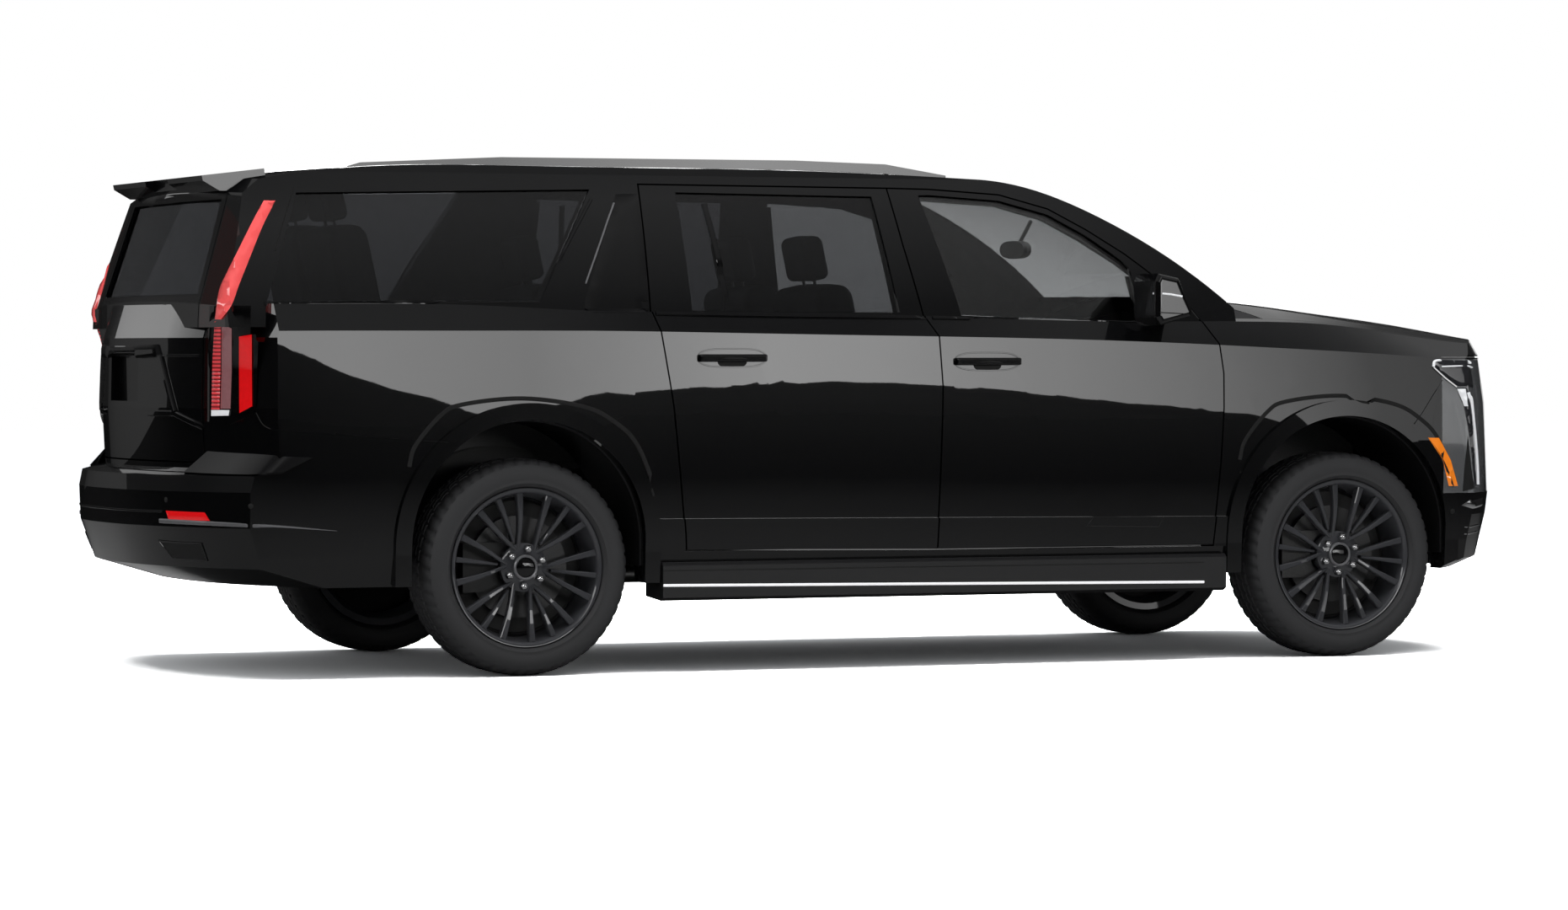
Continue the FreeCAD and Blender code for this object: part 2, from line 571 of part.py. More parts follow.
def build_body():
    """The shell's panels and glass."""
    high = sz.roof_height
    front, back = stop("nose"), stop("tail")
    walls = outer.cut(cavity)
    arches = [arch_prism(axle, 0, -outside, outside) for axle in AXLES]
    shell = Shell(walls.cut(arches))

    hood_half = hood_half_share * sz.body_half
    hood_region = box_region(at(hood_rear_share), front, hood_half, hood_low_share * high, tall)
    keep("hood", shell.panel(hood_region, sz.shut_gap))

    tailgate = shell.panel(end_region(both_sides(tailgate_half_shares), back, at(hinge_share)), sz.shut_gap)
    window = both_sides(tail_window_half_shares)
    tailgate = tailgate.cut([end_prism(window, back, stop("tail_glass"))] + licence_recess())
    keep("tailgate", tailgate.fuse(spoiler()))
    keep("tailgate_glass", pane(end_prism(grown(window, -sz.seat_gap), back, stop("tail_glass"))))

    for name, outline_shares, window_shares in (
            ("front", front_door_shares, front_window_shares), ("rear", rear_door_shares, rear_window_shares)):
        outline = side_points(outline_shares)
        if name == "rear":
            outline = [V(p.x - sz.shut_gap * (s > 1.4), 0, p.z) for p, (s, h) in zip(outline, outline_shares)]
        door = shell.door(outline, -outside, -sz.well_inner)
        hole = side_points(window_shares)
        door = door.cut(side_prism(hole, -outside, -sz.well_inner)).fuse(door_handle(name))
        glass = pane(side_prism(offset_outline(hole, -sz.seat_gap), -outside, -sz.well_inner))
        keep(name + "_door_right", door)
        keep(name + "_door_left", mirrored(door))
        keep(name + "_door_glass_right", glass)
        keep(name + "_door_glass_left", mirrored(glass))

    screen = both_sides(windscreen_half_shares)
    shell.taken.append(end_prism(screen, stop("screen_rear"), stop("screen_foot")))
    screen_glass = pane(end_prism(grown(screen, -sz.seat_gap), stop("screen_rear"), stop("screen_front")))
    hole = side_points(quarter_window_shares)
    shell.taken.append(side_prism(hole, -outside, -sz.well_inner))
    quarter = pane(side_prism(offset_outline(hole, -sz.seat_gap), -outside, -sz.well_inner))
    keep("fixed_glass", Part.makeCompound([screen_glass] + both(quarter).Solids))

    seat = sz.seat_gap
    keep("cowl", build_cowl(shell, hood_half))
    roof_half = roof_half_share * sz.body_half
    roof_rear = at(hinge_share) + sz.shut_gap
    roof = shell.panel(box_region(roof_rear, stop("roof_front"), roof_half, roof_low_share * high, tall), seat)
    keep("roof", roof.fuse(roof_pads(roof_rear)))
    grille_half = grille_half_share * sz.body_half
    grille = shell.panel(
        box_region(stop("grille"), front, grille_half, grille_low_share * high, hood_low_share * high), seat)
    keep("grille", grille.cut(grille_slots(grille_half, front)))
    lamp = shell.panel(end_region(end_points(headlamp_shares), at(lamp_share), front), seat, True)
    shell.taken.append(mirrored(shell.taken[-1]))
    keep("headlamps", both(lamp))
    keep("front_bumper", shell.panel(side_region(front_bumper_shares, -outside, outside), seat))
    keep("rear_bumper", shell.panel(side_region(rear_bumper_shares, -outside, outside), seat))
    lamp_region = end_region(end_points(tail_lamp_shares), back, stop("tail_lamp"))
    keep("tail_lamps", both(shell.panel(lamp_region, seat, True)))
    keep("front_fenders", both(shell.panel(side_region(fender_shares, -outside, 0), seat, True)))
    side = shell.rest_of_right()
    keep("body_side_right", side)
    keep("body_side_left", mirrored(side))


def grille_slots(half, front):
    """The gaps between the grille's bars, as deep as the body's skin."""
    low = grille_low_share * sz.roof_height + sz.grille_rim
    high = hood_low_share * sz.roof_height - sz.grille_rim
    pitch = (high - low) / sz.grille_bars
    slots = []
    for i in range(int(sz.grille_bars)):
        z = low + pitch * i + pitch / 4
        slots.append(box(stop("grille"), front, sz.grille_rim - half, half - sz.grille_rim, z, z + pitch / 2))
    return Part.makeCompound(slots).cut(skin_back)


def build_cowl(shell, half):
    """The cowl under the windscreen, with the bulkhead that hangs from it."""
    high = sz.roof_height
    x_rear = stop("bulkhead_rear")
    x_front = stop("bulkhead_front")
    x_lip = at(hood_rear_share) - sz.shut_gap
    tray = 0.664 * high
    panel = shell.panel(box_region(x_front, x_lip, half, 0.66 * high, tall), sz.seat_gap)
    half = half - sz.arm_thick
    bulkhead = box(x_rear, x_front, -half, half, sz.floor_height + sz.seat_gap, tray)
    shelf = box(x_rear, x_lip, -half, half, tray - sz.floor_thick, tray)
    lip = box(x_lip - wall, x_lip, -half, half, tray - sz.floor_thick, tall).common(cavity)
    pads = []
    for side in (-1, 1):
        y = side * half / 2
        z = 0.7255 * high
        pads.append(box(
            x_lip - wall, x_lip + sz.shut_gap - sz.seat_gap, y - sz.mount_radius, y + sz.mount_radius,
            z - sz.hood_thick * 0.7, z).common(outer))
    return panel.fuse([bulkhead, shelf, lip] + pads)


def roof_pads(roof_rear):
    """Two hinge pads that close the shut gap between roof and tailgate."""
    pads = []
    for side in (-1, 1):
        y = side * sz.body_half / 2
        z = 0.962 * sz.roof_height
        pads.append(box(
            roof_rear - sz.shut_gap + sz.seat_gap, roof_rear + sz.arm_thick,
            y - sz.mount_radius, y + sz.mount_radius, z - sz.hood_thick / 4, z))
    return pads


def licence_recess():
    """The flat-floored pocket for the licence plate, and its four screw holes."""
    floor = sz.recess_inset - length / 2
    half = sz.recess_half
    cuts = [box(floor - length, floor, -half, half, sz.recess_low, sz.recess_high)]
    middle = (sz.recess_low + sz.recess_high) / 2
    for across in (-1, 1):
        for up in (-1, 1):
            mouth = V(floor - sz.plate_hole_depth, across * sz.plate_across / 2, middle + up * sz.plate_up / 2)
            cuts.append(Part.makeCylinder(sz.plate_hole, sz.plate_hole_depth * 2, mouth, FORWARD))
    return cuts


def spoiler():
    """The lip over the tailgate's glass, with a notch at mid width."""
    half = sz.spoiler_half
    lip = side_prism(side_points(spoiler_shares), -half, half)
    notch = box(stop("tail"), at(spoiler_notch_share), -half / 4, half / 4, 0, tall)
    return lip.cut(notch)


def door_handle(name):
    """A pull handle standing off the door's skin."""
    share, height_share = handle_shares[name]
    middle, height = at(share), height_share * sz.roof_height
    rise = sz.handle_rise
    grip = box(
        middle - sz.handle_length / 2, middle + sz.handle_length / 2, -sz.body_half - rise,
        -sz.body_half - rise / 3, height - rise / 2, height + rise / 2)
    grip = grip.makeFillet(rise / 4, grip.Edges)
    posts = []
    for end in (-1, 1):
        foot = V(middle + end * (sz.handle_length / 2 - rise), -sz.body_half - rise / 2, height)
        posts.append(Part.makeCylinder(rise / 3, rise * 2, foot, LEFT))
    return grip.fuse(posts)


def build_mirror():
    """A door mirror: a rounded shell on a foot that meets the door's corner."""
    outline = side_points(mirror_shares)
    inner = -sz.body_half + sz.mirror_width / 10
    outer_y = inner - sz.mirror_reach
    shell = side_prism(outline, outer_y, inner)
    ends = [e for e in shell.Edges if abs(e.CenterOfMass.y - outer_y) < sz.seat_gap]
    shell = shell.makeFillet(sz.mirror_width / 8, ends)
    low = min(p.z for p in outline)
    foot_x = outline[5].x - sz.handle_rise * 3
    foot = box(
        foot_x, foot_x + sz.handle_rise * 3, inner - sz.mirror_width / 2, -sz.body_half + sz.side_wall,
        low + sz.handle_rise, low + sz.handle_rise * 2)
    mirror = shell.fuse(foot).cut(outer_grown)
    keep("mirror_right", mirror)
    keep("mirror_left", mirrored(mirror))


def sketch_on(body, name, plane, offset="0"):
    """A sketch on one of a body's own origin planes, moved along that plane's normal."""
    sketch = body.newObject("Sketcher::SketchObject", name)
    base = next(f for f in body.Origin.OriginFeatures if f.Role == plane)
    sketch.AttachmentSupport = [(base, "")]
    sketch.MapMode = "FlatFace"
    sketch.setExpression("AttachmentOffset.Base.z", cells(offset))
    return sketch


def ring(sketch, corners):
    """A closed outline of straight edges, each corner tied to its two formulas."""
    first = sketch.GeometryCount
    places = [V(worth(a), worth(b), 0) for a, b in corners]
    count = len(corners)
    for i in range(count):
        sketch.addGeometry(Part.LineSegment(places[i], places[(i + 1) % count]))
    for i, (across, up) in enumerate(corners):
        sketch.addConstraint(Sketcher.Constraint("Coincident", first + i, 2, first + (i + 1) % count, 1))
        for kind, formula, start in (("DistanceX", across, places[i].x), ("DistanceY", up, places[i].y)):
            index = sketch.addConstraint(Sketcher.Constraint(kind, -1, 1, first + i, 1, start))
            sketch.setExpression("Constraints[%d]" % index, cells(formula))


def disc_outline(sketch, across, up, radius):
    """A circle, its centre and radius tied to formulas."""
    index = sketch.addGeometry(Part.Circle(V(worth(across), worth(up), 0), V(0, 0, 1), worth(radius)))
    for kind, formula in (("DistanceX", across), ("DistanceY", up)):
        row = sketch.addConstraint(Sketcher.Constraint(kind, -1, 1, index, 3, worth(formula)))
        sketch.setExpression("Constraints[%d]" % row, cells(formula))
    row = sketch.addConstraint(Sketcher.Constraint("Radius", index, worth(radius)))
    sketch.setExpression("Constraints[%d]" % row, cells(radius))


def turned(body, name, corners):
    """A solid of revolution about the Y axis, from (radius, y) corners."""
    sketch = sketch_on(body, name + "_section", "XY_Plane")
    ring(sketch, corners)
    item = body.newObject("PartDesign::Revolution", name)
    item.Profile = sketch
    item.ReferenceAxis = (sketch, ["V_Axis"])
    item.Angle = 360
    return item


def padded(body, name, sketch, depth, astride=False):
    """A pad of a sketch, one way or astride its plane."""
    item = body.newObject("PartDesign::Pad", name)
    item.Profile = sketch
    item.setExpression("Length", cells(depth))
    if astride:
        item.Midplane = True
    return item


def around_axle(body, name, feature, count):
    """A feature repeated round the Y axis."""
    item = body.newObject("PartDesign::PolarPattern", name)
    item.Originals = [feature]
    axis = next(f for f in body.Origin.OriginFeatures if f.Role == "Y_Axis")
    item.Axis = (axis, [""])
    item.Angle = 360
    item.setExpression("Occurrences", cells(count))
    body.Tip = item
    return item


def place(item, across, side, up):
    """Ties an object's place to formulas."""
    for axis, formula in (("x", across), ("y", side), ("z", up)):
        item.setExpression("Placement.Base." + axis, cells(formula))
    return item


def primitive(kind, name, spot, turn=None, **sizes):
    """One of Part's own solids, with its sizes and its place tied to formulas."""
    item = doc.addObject("Part::" + kind, name)
    for size, formula in sizes.items():
        item.setExpression(size, cells(formula))
    if turn:
        item.Placement = FreeCAD.Placement(ORIGIN, FreeCAD.Rotation(*turn))
    return place(item, *spot)


def along_y(name, spot, radius, depth):
    """A cylinder whose axis runs to the left from its spot."""
    return primitive("Cylinder", name, spot, (V(1, 0, 0), -90), Radius=radius, Height=depth)


def fused(name, pieces):
    item = doc.addObject("Part::MultiFuse", name)
    item.Shapes = pieces
    return item


def less(name, base, tool):
    item = doc.addObject("Part::Cut", name)
    item.Base = base
    item.Tool = tool
    return item


def grouped(name, pieces):
    item = doc.addObject("Part::Compound", name)
    item.Links = pieces
    return item


def settle(name, item):
    """Lists an object as one of the sub-parts."""
    item.Label = name
    parts[name] = item
    return item


def reflected(name, source):
    """The left-hand twin of a right-hand object."""
    item = doc.addObject("Part::Mirroring", name)
    item.Source = source
    item.Base = ORIGIN
    item.Normal = LEFT
    return item


def polar(radius, angle):
    """Formulas of a place at a radius and an angle."""
    return "(%s) * cos(%s)" % (radius, angle), "(%s) * sin(%s)" % (radius, angle)


# Formulas of places on a right-hand wheel, about its centre: Y is negative towards the road side.
OUTER_FACE = "-rim_width / 2"
HUB_FACE = "face_depth - rim_width / 2 - hub_depth / 3"
HUB_BACK = "face_depth - rim_width / 2 + hub_depth"
DISC_BACK = "face_depth - rim_width / 2 + hub_depth + disc_thick"
CARRIER_FACE = "face_depth - rim_width / 2 + hub_depth + disc_thick + shut_gap"
AXLE_FORMULAS = {
    "front": "(rear_overhang + wheelbase - front_overhang) / 2",
    "rear": "(rear_overhang - wheelbase - front_overhang) / 2",
}


def build_tyre(end):
    """One tyre: bead, sidewall and tread, turned about the axle."""
    body = doc.addObject("PartDesign::Body", end + "_tyre_right")
    half = [
        ("rim_radius + seat_gap", "rim_width / 2 - rim_wall - seat_gap"),
        ("tyre_radius - sidewall_height / 2", "tyre_width / 2"),
        ("tyre_radius", "tread_width / 2"),
    ]
    turned(body, end + "_casing", half + [(radius, "-(%s)" % y) for radius, y in half[::-1]])
    return body


def build_rim(end):
    """One wheel: cap and hub, six groups of three spokes, six lug nuts, barrel and brake disc."""
    body = doc.addObject("PartDesign::Body", end + "_rim_right")
    turned(body, end + "_hub", [
        ("0", HUB_FACE), ("hub_radius", HUB_FACE), ("hub_radius", HUB_BACK), ("hub_bore", HUB_BACK),
        ("hub_bore", HUB_FACE + " + rim_wall"), ("0", HUB_FACE + " + rim_wall"),
    ])
    sketch = sketch_on(body, end + "_spoke_outlines", "XZ_Plane", "rim_width / 2 - spoke_thick")
    middle = "wheel_turn + 180 / lug_count"
    for side in (-1, 0, 1):
        foot_radius = "hub_radius * 1.9" if side == 0 else "hub_radius * 0.85"
        foot, waist, tip = "%g * spoke_foot" % side, "%g * spoke_waist" % side, "%g * spoke_tip" % side
        rim_side, waist_radius = "rim_radius - rim_wall / 2", "hub_radius * 2.1"
        spread = [(foot_radius, foot, "spoke_taper * 2"), (waist_radius, waist, "spoke_taper"),
                  (rim_side, tip, "spoke_taper * 1.5")]
        low = [polar(r, "%s + %s - %s" % (middle, a, b)) for r, a, b in spread]
        high = [polar(r, "%s + %s + %s" % (middle, a, b)) for r, a, b in spread]
        ring(sketch, low + high[::-1])
    group = padded(body, end + "_spoke_group", sketch, "spoke_thick")
    around_axle(body, end + "_spokes", group, "lug_count")
    seats = sketch_on(body, end + "_lug_outline", "XZ_Plane", "-(%s)" % HUB_FACE)
    disc_outline(seats, *polar("lug_circle / 2", "wheel_turn"), "lug_radius")
    nut = padded(body, end + "_lug_nut", seats, "lug_stand")
    around_axle(body, end + "_lug_nuts", nut, "lug_count")
    lip = "rim_width / 2 - rim_wall"
    turned(body, end + "_barrel", [
        ("rim_radius", lip), ("rim_flange", "rim_width / 2 - rim_wall / 3"), ("rim_flange", "rim_width / 2"),
        ("rim_radius - rim_wall", "rim_width / 2"), ("rim_radius - rim_wall * 2", "0"),
        ("rim_radius - rim_wall", OUTER_FACE), ("rim_flange", OUTER_FACE),
        ("rim_flange", "rim_wall / 3 - rim_width / 2"), ("rim_radius", "-(%s)" % lip),
    ])
    turned(body, end + "_disc", [
        ("hub_bore", HUB_BACK), ("disc_radius", HUB_BACK), ("disc_radius", DISC_BACK), ("hub_bore", DISC_BACK),
    ])
    return body


def build_wheels():
    for end, axle in AXLE_FORMULAS.items():
        for kind, body in (("rim", build_rim(end)), ("tyre", build_tyre(end))):
            place(body, axle, "-track_half", "tyre_radius")
            settle("%s_%s_right" % (end, kind), body)
            left = "%s_%s_left" % (end, kind)
            settle(left, reflected(left, body))


def build_carrier(end):
    """The spindle, upright and caliper behind a right-hand wheel."""
    axle = AXLE_FORMULAS[end]
    wheel = "-track_half"
    tip = HUB_FACE + " + rim_wall + 2 * seat_gap"
    spindle = along_y(
        end + "_spindle", (axle, "%s + %s" % (wheel, tip), "tyre_radius"), "hub_bore - 2 * seat_gap",
        "%s - (%s) + arm_thick" % (CARRIER_FACE, tip))
    plate = along_y(
        end + "_plate", (axle, "%s + %s" % (wheel, CARRIER_FACE), "tyre_radius"), "hub_radius", "arm_thick")
    upright = primitive(
        "Box", end + "_upright",
        (axle + " - upright_width / 2", "%s + %s" % (wheel, CARRIER_FACE), "tyre_radius - knuckle_height / 2"),
        Length="upright_width", Width="arm_thick", Height="knuckle_height")
    jaw = "%s + %s - shut_gap - caliper_wall" % (wheel, HUB_BACK)
    block = primitive(
        "Box", end + "_caliper_block",
        (axle + " - disc_radius - arm_thick", jaw, "tyre_radius - hub_radius"),
        Length="disc_radius + arm_thick - upright_width / 4",
        Width="disc_thick + 2 * shut_gap + caliper_wall + arm_thick", Height="2 * hub_radius")
    slot = along_y(
        end + "_caliper_slot", (axle, "%s + %s - shut_gap" % (wheel, HUB_BACK), "tyre_radius"),
        "disc_radius + shut_gap", "disc_thick + 2 * shut_gap")
    hub_room = along_y(
        end + "_hub_room", (axle, jaw + " - overrun", "tyre_radius"), "hub_radius + shut_gap",
        "caliper_wall + overrun + disc_thick + shut_gap")
    caliper = less(end + "_caliper", block, fused(end + "_caliper_room", [slot, hub_room]))
    return [spindle, plate, upright, caliper]


def build_axles():
    """Steered front knuckles with their arms, and the live rear axle under its spring seats."""
    knuckle = settle("front_knuckle_right", fused("front_knuckle_right", build_carrier("front")))
    settle("front_knuckle_left", reflected("front_knuckle_left", knuckle))
    axle = AXLE_FORMULAS["front"]
    inner = "-(rail_half + rail_width / 2 + seat_gap)"
    outer_end = "-track_half + arm_thick / 2 + " + CARRIER_FACE
    arms = []
    for level, side in (("lower", "-"), ("upper", "+")):
        body = doc.addObject("PartDesign::Body", level + "_arm")
        height = "tyre_radius %s (knuckle_height / 2 + arm_thick / 2 + seat_gap) - arm_thick / 2" % side
        sketch = sketch_on(body, level + "_arm_outline", "XY_Plane", height)
        ring(sketch, [
            (axle + " - arm_tip / 2", outer_end), (axle + " + arm_tip / 2", outer_end),
            (axle + " + arm_base / 2", inner), (axle + " - arm_base / 2", inner),
        ])
        padded(body, level + "_arm_pad", sketch, "arm_thick")
        arms += [body, reflected(level + "_arm_left", body)]
    settle("front_suspension", grouped("front_suspension", arms))
    axle = AXLE_FORMULAS["rear"]
    carrier = fused("rear_carrier", build_carrier("rear"))
    shaft = along_y(
        "axle_tube", (axle, "-track_half + " + CARRIER_FACE, "tyre_radius"), "shaft_radius",
        "2 * (track_half - (%s))" % CARRIER_FACE)
    casing = primitive("Sphere", "differential", (axle, "0", "tyre_radius"), Radius="gearbox_radius")
    perch = primitive(
        "Cylinder", "spring_seat", (axle, "-rail_half", "tyre_radius"), Radius="perch_radius",
        Height="rail_bottom + kick_up - seat_gap - tyre_radius")
    left = [reflected("rear_carrier_left", carrier), reflected("spring_seat_left", perch)]
    settle("rear_axle", fused("rear_axle", [carrier, shaft, casing, perch] + left))


def station(share):
    """A station's X as a formula."""
    rear = AXLE_FORMULAS["rear"]
    front = AXLE_FORMULAS["front"]
    if share < 1:
        return "%s - %g * rear_overhang" % (rear, 1 - share)
    if share < 2:
        return "%s + %g * wheelbase" % (rear, share - 1)
    return "%s + %g * front_overhang" % (front, share - 2)


def build_frame():
    """Two rails kicked up at both axles, cross-members, and body mounts up to the floor."""
    body = doc.addObject("PartDesign::Body", "frame")
    cross = sketch_on(body, "crossmember_sections", "XZ_Plane")
    for share, rise in crossmember_shares:
        x = station(share)
        low = "rail_bottom + %g * kick_up" % rise
        ring(cross, [
            (x + " - rail_width / 2", low), (x + " + rail_width / 2", low),
            (x + " + rail_width / 2", low + " + crossmember_height"),
            (x + " - rail_width / 2", low + " + crossmember_height"),
        ])
    padded(body, "crossmembers", cross, "2 * rail_half", True)
    side = sketch_on(body, "rail_profile", "XZ_Plane", "rail_half - rail_width / 2")
    low = [(station(share), "rail_bottom + %g * kick_up" % rise) for share, rise in rail_path_shares]
    high = [(x, z + " + rail_height") for x, z in low]
    ring(side, low + high[::-1])
    rail = padded(body, "rail", side, "rail_width")
    top = sketch_on(body, "mount_outlines", "XY_Plane", "rail_bottom + rail_height")
    for share in body_mount_shares:
        disc_outline(top, station(share), "-rail_half", "mount_radius * 0.8")
    mounts = padded(body, "body_mounts", top, "floor_height - rail_bottom - rail_height")
    twins = body.newObject("PartDesign::Mirrored", "left_rail")
    twins.Originals = [rail, mounts]
    plane = next(f for f in body.Origin.OriginFeatures if f.Role == "XZ_Plane")
    twins.MirrorPlane = (plane, [""])
    body.Tip = twins
    settle("frame", body)


def strip(points, depth, y_low, y_high):
    """A bent strip of even depth below a side-view path, swept across the car."""
    low = [V(p.x, 0, p.z - depth) for p in points]
    return side_prism(points + low[::-1], y_low, y_high)


def rail_level(share):
    """Height of the rails' underside: 0 along the middle, 1 over the axles."""
    return sz.rail_bottom + share * sz.kick_up


def floor_top(share):
    """Height of the floor's top: 0 in the cabin, 1 over the rear axle."""
    return sz.floor_height + sz.floor_thick + share * sz.floor_rise


def build_floor():
    """The floor, stepped up behind the second row, cut clear of the rear wheel wells."""
    path = [V(at(spot), 0, floor_top(rise)) for spot, rise in floor_path_shares]
    plate = strip(path, sz.floor_thick, -sz.body_half, sz.body_half).common(room)
    wells = []
    for low, high in ((-outside, -sz.well_inner - sz.overrun), (sz.well_inner + sz.overrun, outside)):
        wells.append(arch_prism(rear_axle, sz.seat_gap, low, high))
    keep("floor", plate.cut(wells))


def build_liners():
    """Arched liners over the wheels, and the rear ones' inner walls above the floor."""
    out_y = -sz.body_half * 0.955
    pieces = []
    for axle, inner in ((front_axle, -sz.well_inner), (rear_axle, -sz.well_inner - sz.overrun)):
        shell = arch_prism(axle, -sz.seat_gap, out_y, inner).cut(
            arch_prism(axle, -sz.seat_gap - sz.liner_thick, out_y, inner))
        low = arch_centre - sz.arch_rise
        pieces.append(shell.common(box(axle - length, axle + length, out_y, inner, low, tall)))
    inner = -sz.well_inner - sz.overrun
    web = arch_prism(rear_axle, -sz.seat_gap, inner - sz.liner_thick, inner)
    web = web.common(box(
        rear_axle - length, rear_axle + length, inner - sz.liner_thick, inner, floor_top(1), tall))
    pieces[1] = pieces[1].fuse(web)
    keep("wheel_liners", both(Part.makeCompound(pieces)))


def build_seat(name, spot, width):
    """One seat: a plinth, then cushion and raked back in one profile, and a head restraint."""
    body = doc.addObject("PartDesign::Body", name)
    base = "seat_gap"
    front, rear = "seat_depth / 2", "-seat_depth / 2"
    rake = "tan(back_rake)"
    cushion_top = "plinth_height + cushion_height"
    plinth = sketch_on(body, name + "_plinth_side", "XZ_Plane")
    ring(plinth, [
        (rear, base), (front + " - back_thick", base),
        (front + " - back_thick", cushion_top + " - back_thick / 2"), (rear, cushion_top + " - back_thick / 2"),
    ])
    padded(body, name + "_plinth", plinth, width + " - back_thick * 2", True)
    side = sketch_on(body, name + "_side", "XZ_Plane")
    ring(side, [
        (front, "plinth_height"), (front, cushion_top), (rear, cushion_top),
        (rear + " - back_height * " + rake, "plinth_height + back_height"),
        (rear + " - back_thick - back_height * " + rake, "plinth_height + back_height"),
        (rear + " - back_thick", "plinth_height"),
    ])
    shell = padded(body, name + "_shell", side, width, True)
    head = sketch_on(body, name + "_head_side", "XZ_Plane")
    crown = "plinth_height + back_height"
    lean = rear + " - back_height * " + rake
    ring(head, [
        (lean + " - back_thick * 0.2", crown + " - shut_gap"),
        (lean + " - back_thick * 0.3", crown + " + head_height"),
        (lean + " - back_thick", crown + " + head_height"),
        (lean + " - back_thick * 0.9", crown + " - shut_gap"),
    ])
    padded(body, name + "_head", head, "head_width", True)
    return place(body, *spot)


def build_seats():
    seats = []
    for row, share in (("front", 1.545), ("second", 1.280)):
        for side, sign in (("right", "-"), ("left", "")):
            spot = (station(share), sign + "seat_offset", "floor_height + floor_thick")
            seats.append(build_seat("%s_seat_%s" % (row, side), spot, "seat_width"))
    spot = (station(0.96), "0", "floor_height + floor_thick + floor_rise")
    seats.append(build_seat("bench", spot, "bench_width"))
    settle("seats", grouped("seats", seats))


def build_dashboard():
    """The dashboard across the cabin, with the steering column and wheel on the left."""
    half = sz.body_half - sz.side_wall - sz.arm_thick
    points = [V(p.x - sz.seat_gap, 0, p.z) for p in side_points(dashboard_shares)]
    panel = doc.addObject("Part::Feature", "dashboard_panel")
    panel.Shape = side_prism(points, -half, half).common(room)
    hub = (station(1.675), "seat_offset", "steering_height")
    lean = (LEFT, sz.column_rake - 90)
    ring_piece = primitive("Torus", "steering_ring", hub, lean, Radius1="wheel_ring", Radius2="wheel_grip")

    def down_the_column(far):
        return (hub[0] + " + cos(column_rake) * " + far, hub[1], hub[2] + " - sin(column_rake) * " + far)

    column = primitive(
        "Cylinder", "steering_column", down_the_column("column_length"), lean, Radius="column_radius",
        Height="column_length")
    boss = primitive(
        "Cylinder", "steering_boss", down_the_column("wheel_grip * 2"), lean, Radius="wheel_ring * 0.38",
        Height="wheel_grip * 3")
    bar = primitive(
        "Box", "steering_spoke",
        (hub[0] + " - wheel_grip / 2", hub[1] + " - wheel_ring", hub[2] + " - wheel_grip"),
        Length="wheel_grip", Width="wheel_ring * 2", Height="wheel_grip * 2")
    settle("dashboard", fused("dashboard", [panel, column, boss, ring_piece, bar]))


def build_powertrain():
    """Engine block and gearbox as plain masses at their real place, on mounts that reach the rails."""
    rear = AXLE_FORMULAS["front"] + " - engine_length * 0.35"
    low = "rail_bottom + arm_thick"
    block = primitive(
        "Box", "engine", (rear, "-engine_width / 2", low), Length="engine_length", Width="engine_width",
        Height="engine_height")
    gearbox = primitive(
        "Cone", "gearbox",
        (rear + " - gearbox_length", "0", "floor_height - gearbox_radius - inner_gap"), (LEFT, 90),
        Radius1="gearbox_radius * 0.7", Radius2="gearbox_radius", Height="gearbox_length")
    reach = "rail_half - rail_width / 2 - seat_gap"
    mounts = primitive(
        "Box", "engine_mounts",
        (rear + " + engine_length / 2 - mount_radius", "-(%s)" % reach, "rail_bottom + kick_up + arm_thick"),
        Length="2 * mount_radius", Width="2 * (%s)" % reach, Height="arm_thick")
    settle("powertrain", fused("powertrain", [block, gearbox, mounts]))


def tube(points, radius):
    """A round pipe along straight runs, with a ball at each elbow."""
    pieces = []
    for start, end in zip(points, points[1:]):
        run = end - start
        pieces.append(Part.makeCylinder(radius, run.Length, start, run))
    pieces += [Part.makeSphere(radius, p) for p in points[1:-1]]
    return pieces[0].fuse(pieces[1:])


def build_exhaust():
    """A pipe hung under the cross-members, over the rear axle and through a silencer to the tail."""
    y = -sz.pipe_offset
    low = rail_level(0) - sz.pipe_radius - sz.seat_gap
    over = hub_height + sz.shaft_radius + sz.pipe_radius + sz.inner_gap
    silencer_x = at(0.28)
    path = [V(at(1.70), y, low), V(at(1.10), y, low), V(at(1.04), y, over), V(silencer_x, y, over)]
    silencer = Part.makeCylinder(sz.silencer_radius, sz.silencer_length, V(silencer_x, y, over), FORWARD)
    keep("exhaust", tube(path, sz.pipe_radius).fuse(silencer))


def build_boards():
    """Running boards: a fascia outside the sill and a foot under the body."""
    body = doc.addObject("PartDesign::Body", "running_boards")
    sketch = sketch_on(body, "board_section", "YZ_Plane", station(1.1535))
    out, seat_y = "-body_half - board_stand", "-body_half + board_inset"
    top, under = "board_top", "body_bottom - seat_gap"
    ring(sketch, [
        (out, "board_bottom + board_bevel"), (out, top + " - board_bevel"), (out + " + board_bevel", top),
        (seat_y, top), (seat_y, under), (seat_y + " + board_width", under),
        (seat_y + " + board_width", "board_bottom + board_bevel"), (out + " + board_bevel * 2", "board_bottom"),
    ])
    board = padded(body, "board", sketch, "%s - (%s)" % (station(1.844), station(1.1535)))
    twin = body.newObject("PartDesign::Mirrored", "left_board")
    twin.Originals = [board]
    plane = next(f for f in body.Origin.OriginFeatures if f.Role == "XZ_Plane")
    twin.MirrorPlane = (plane, [""])
    body.Tip = twin
    settle("running_boards", body)


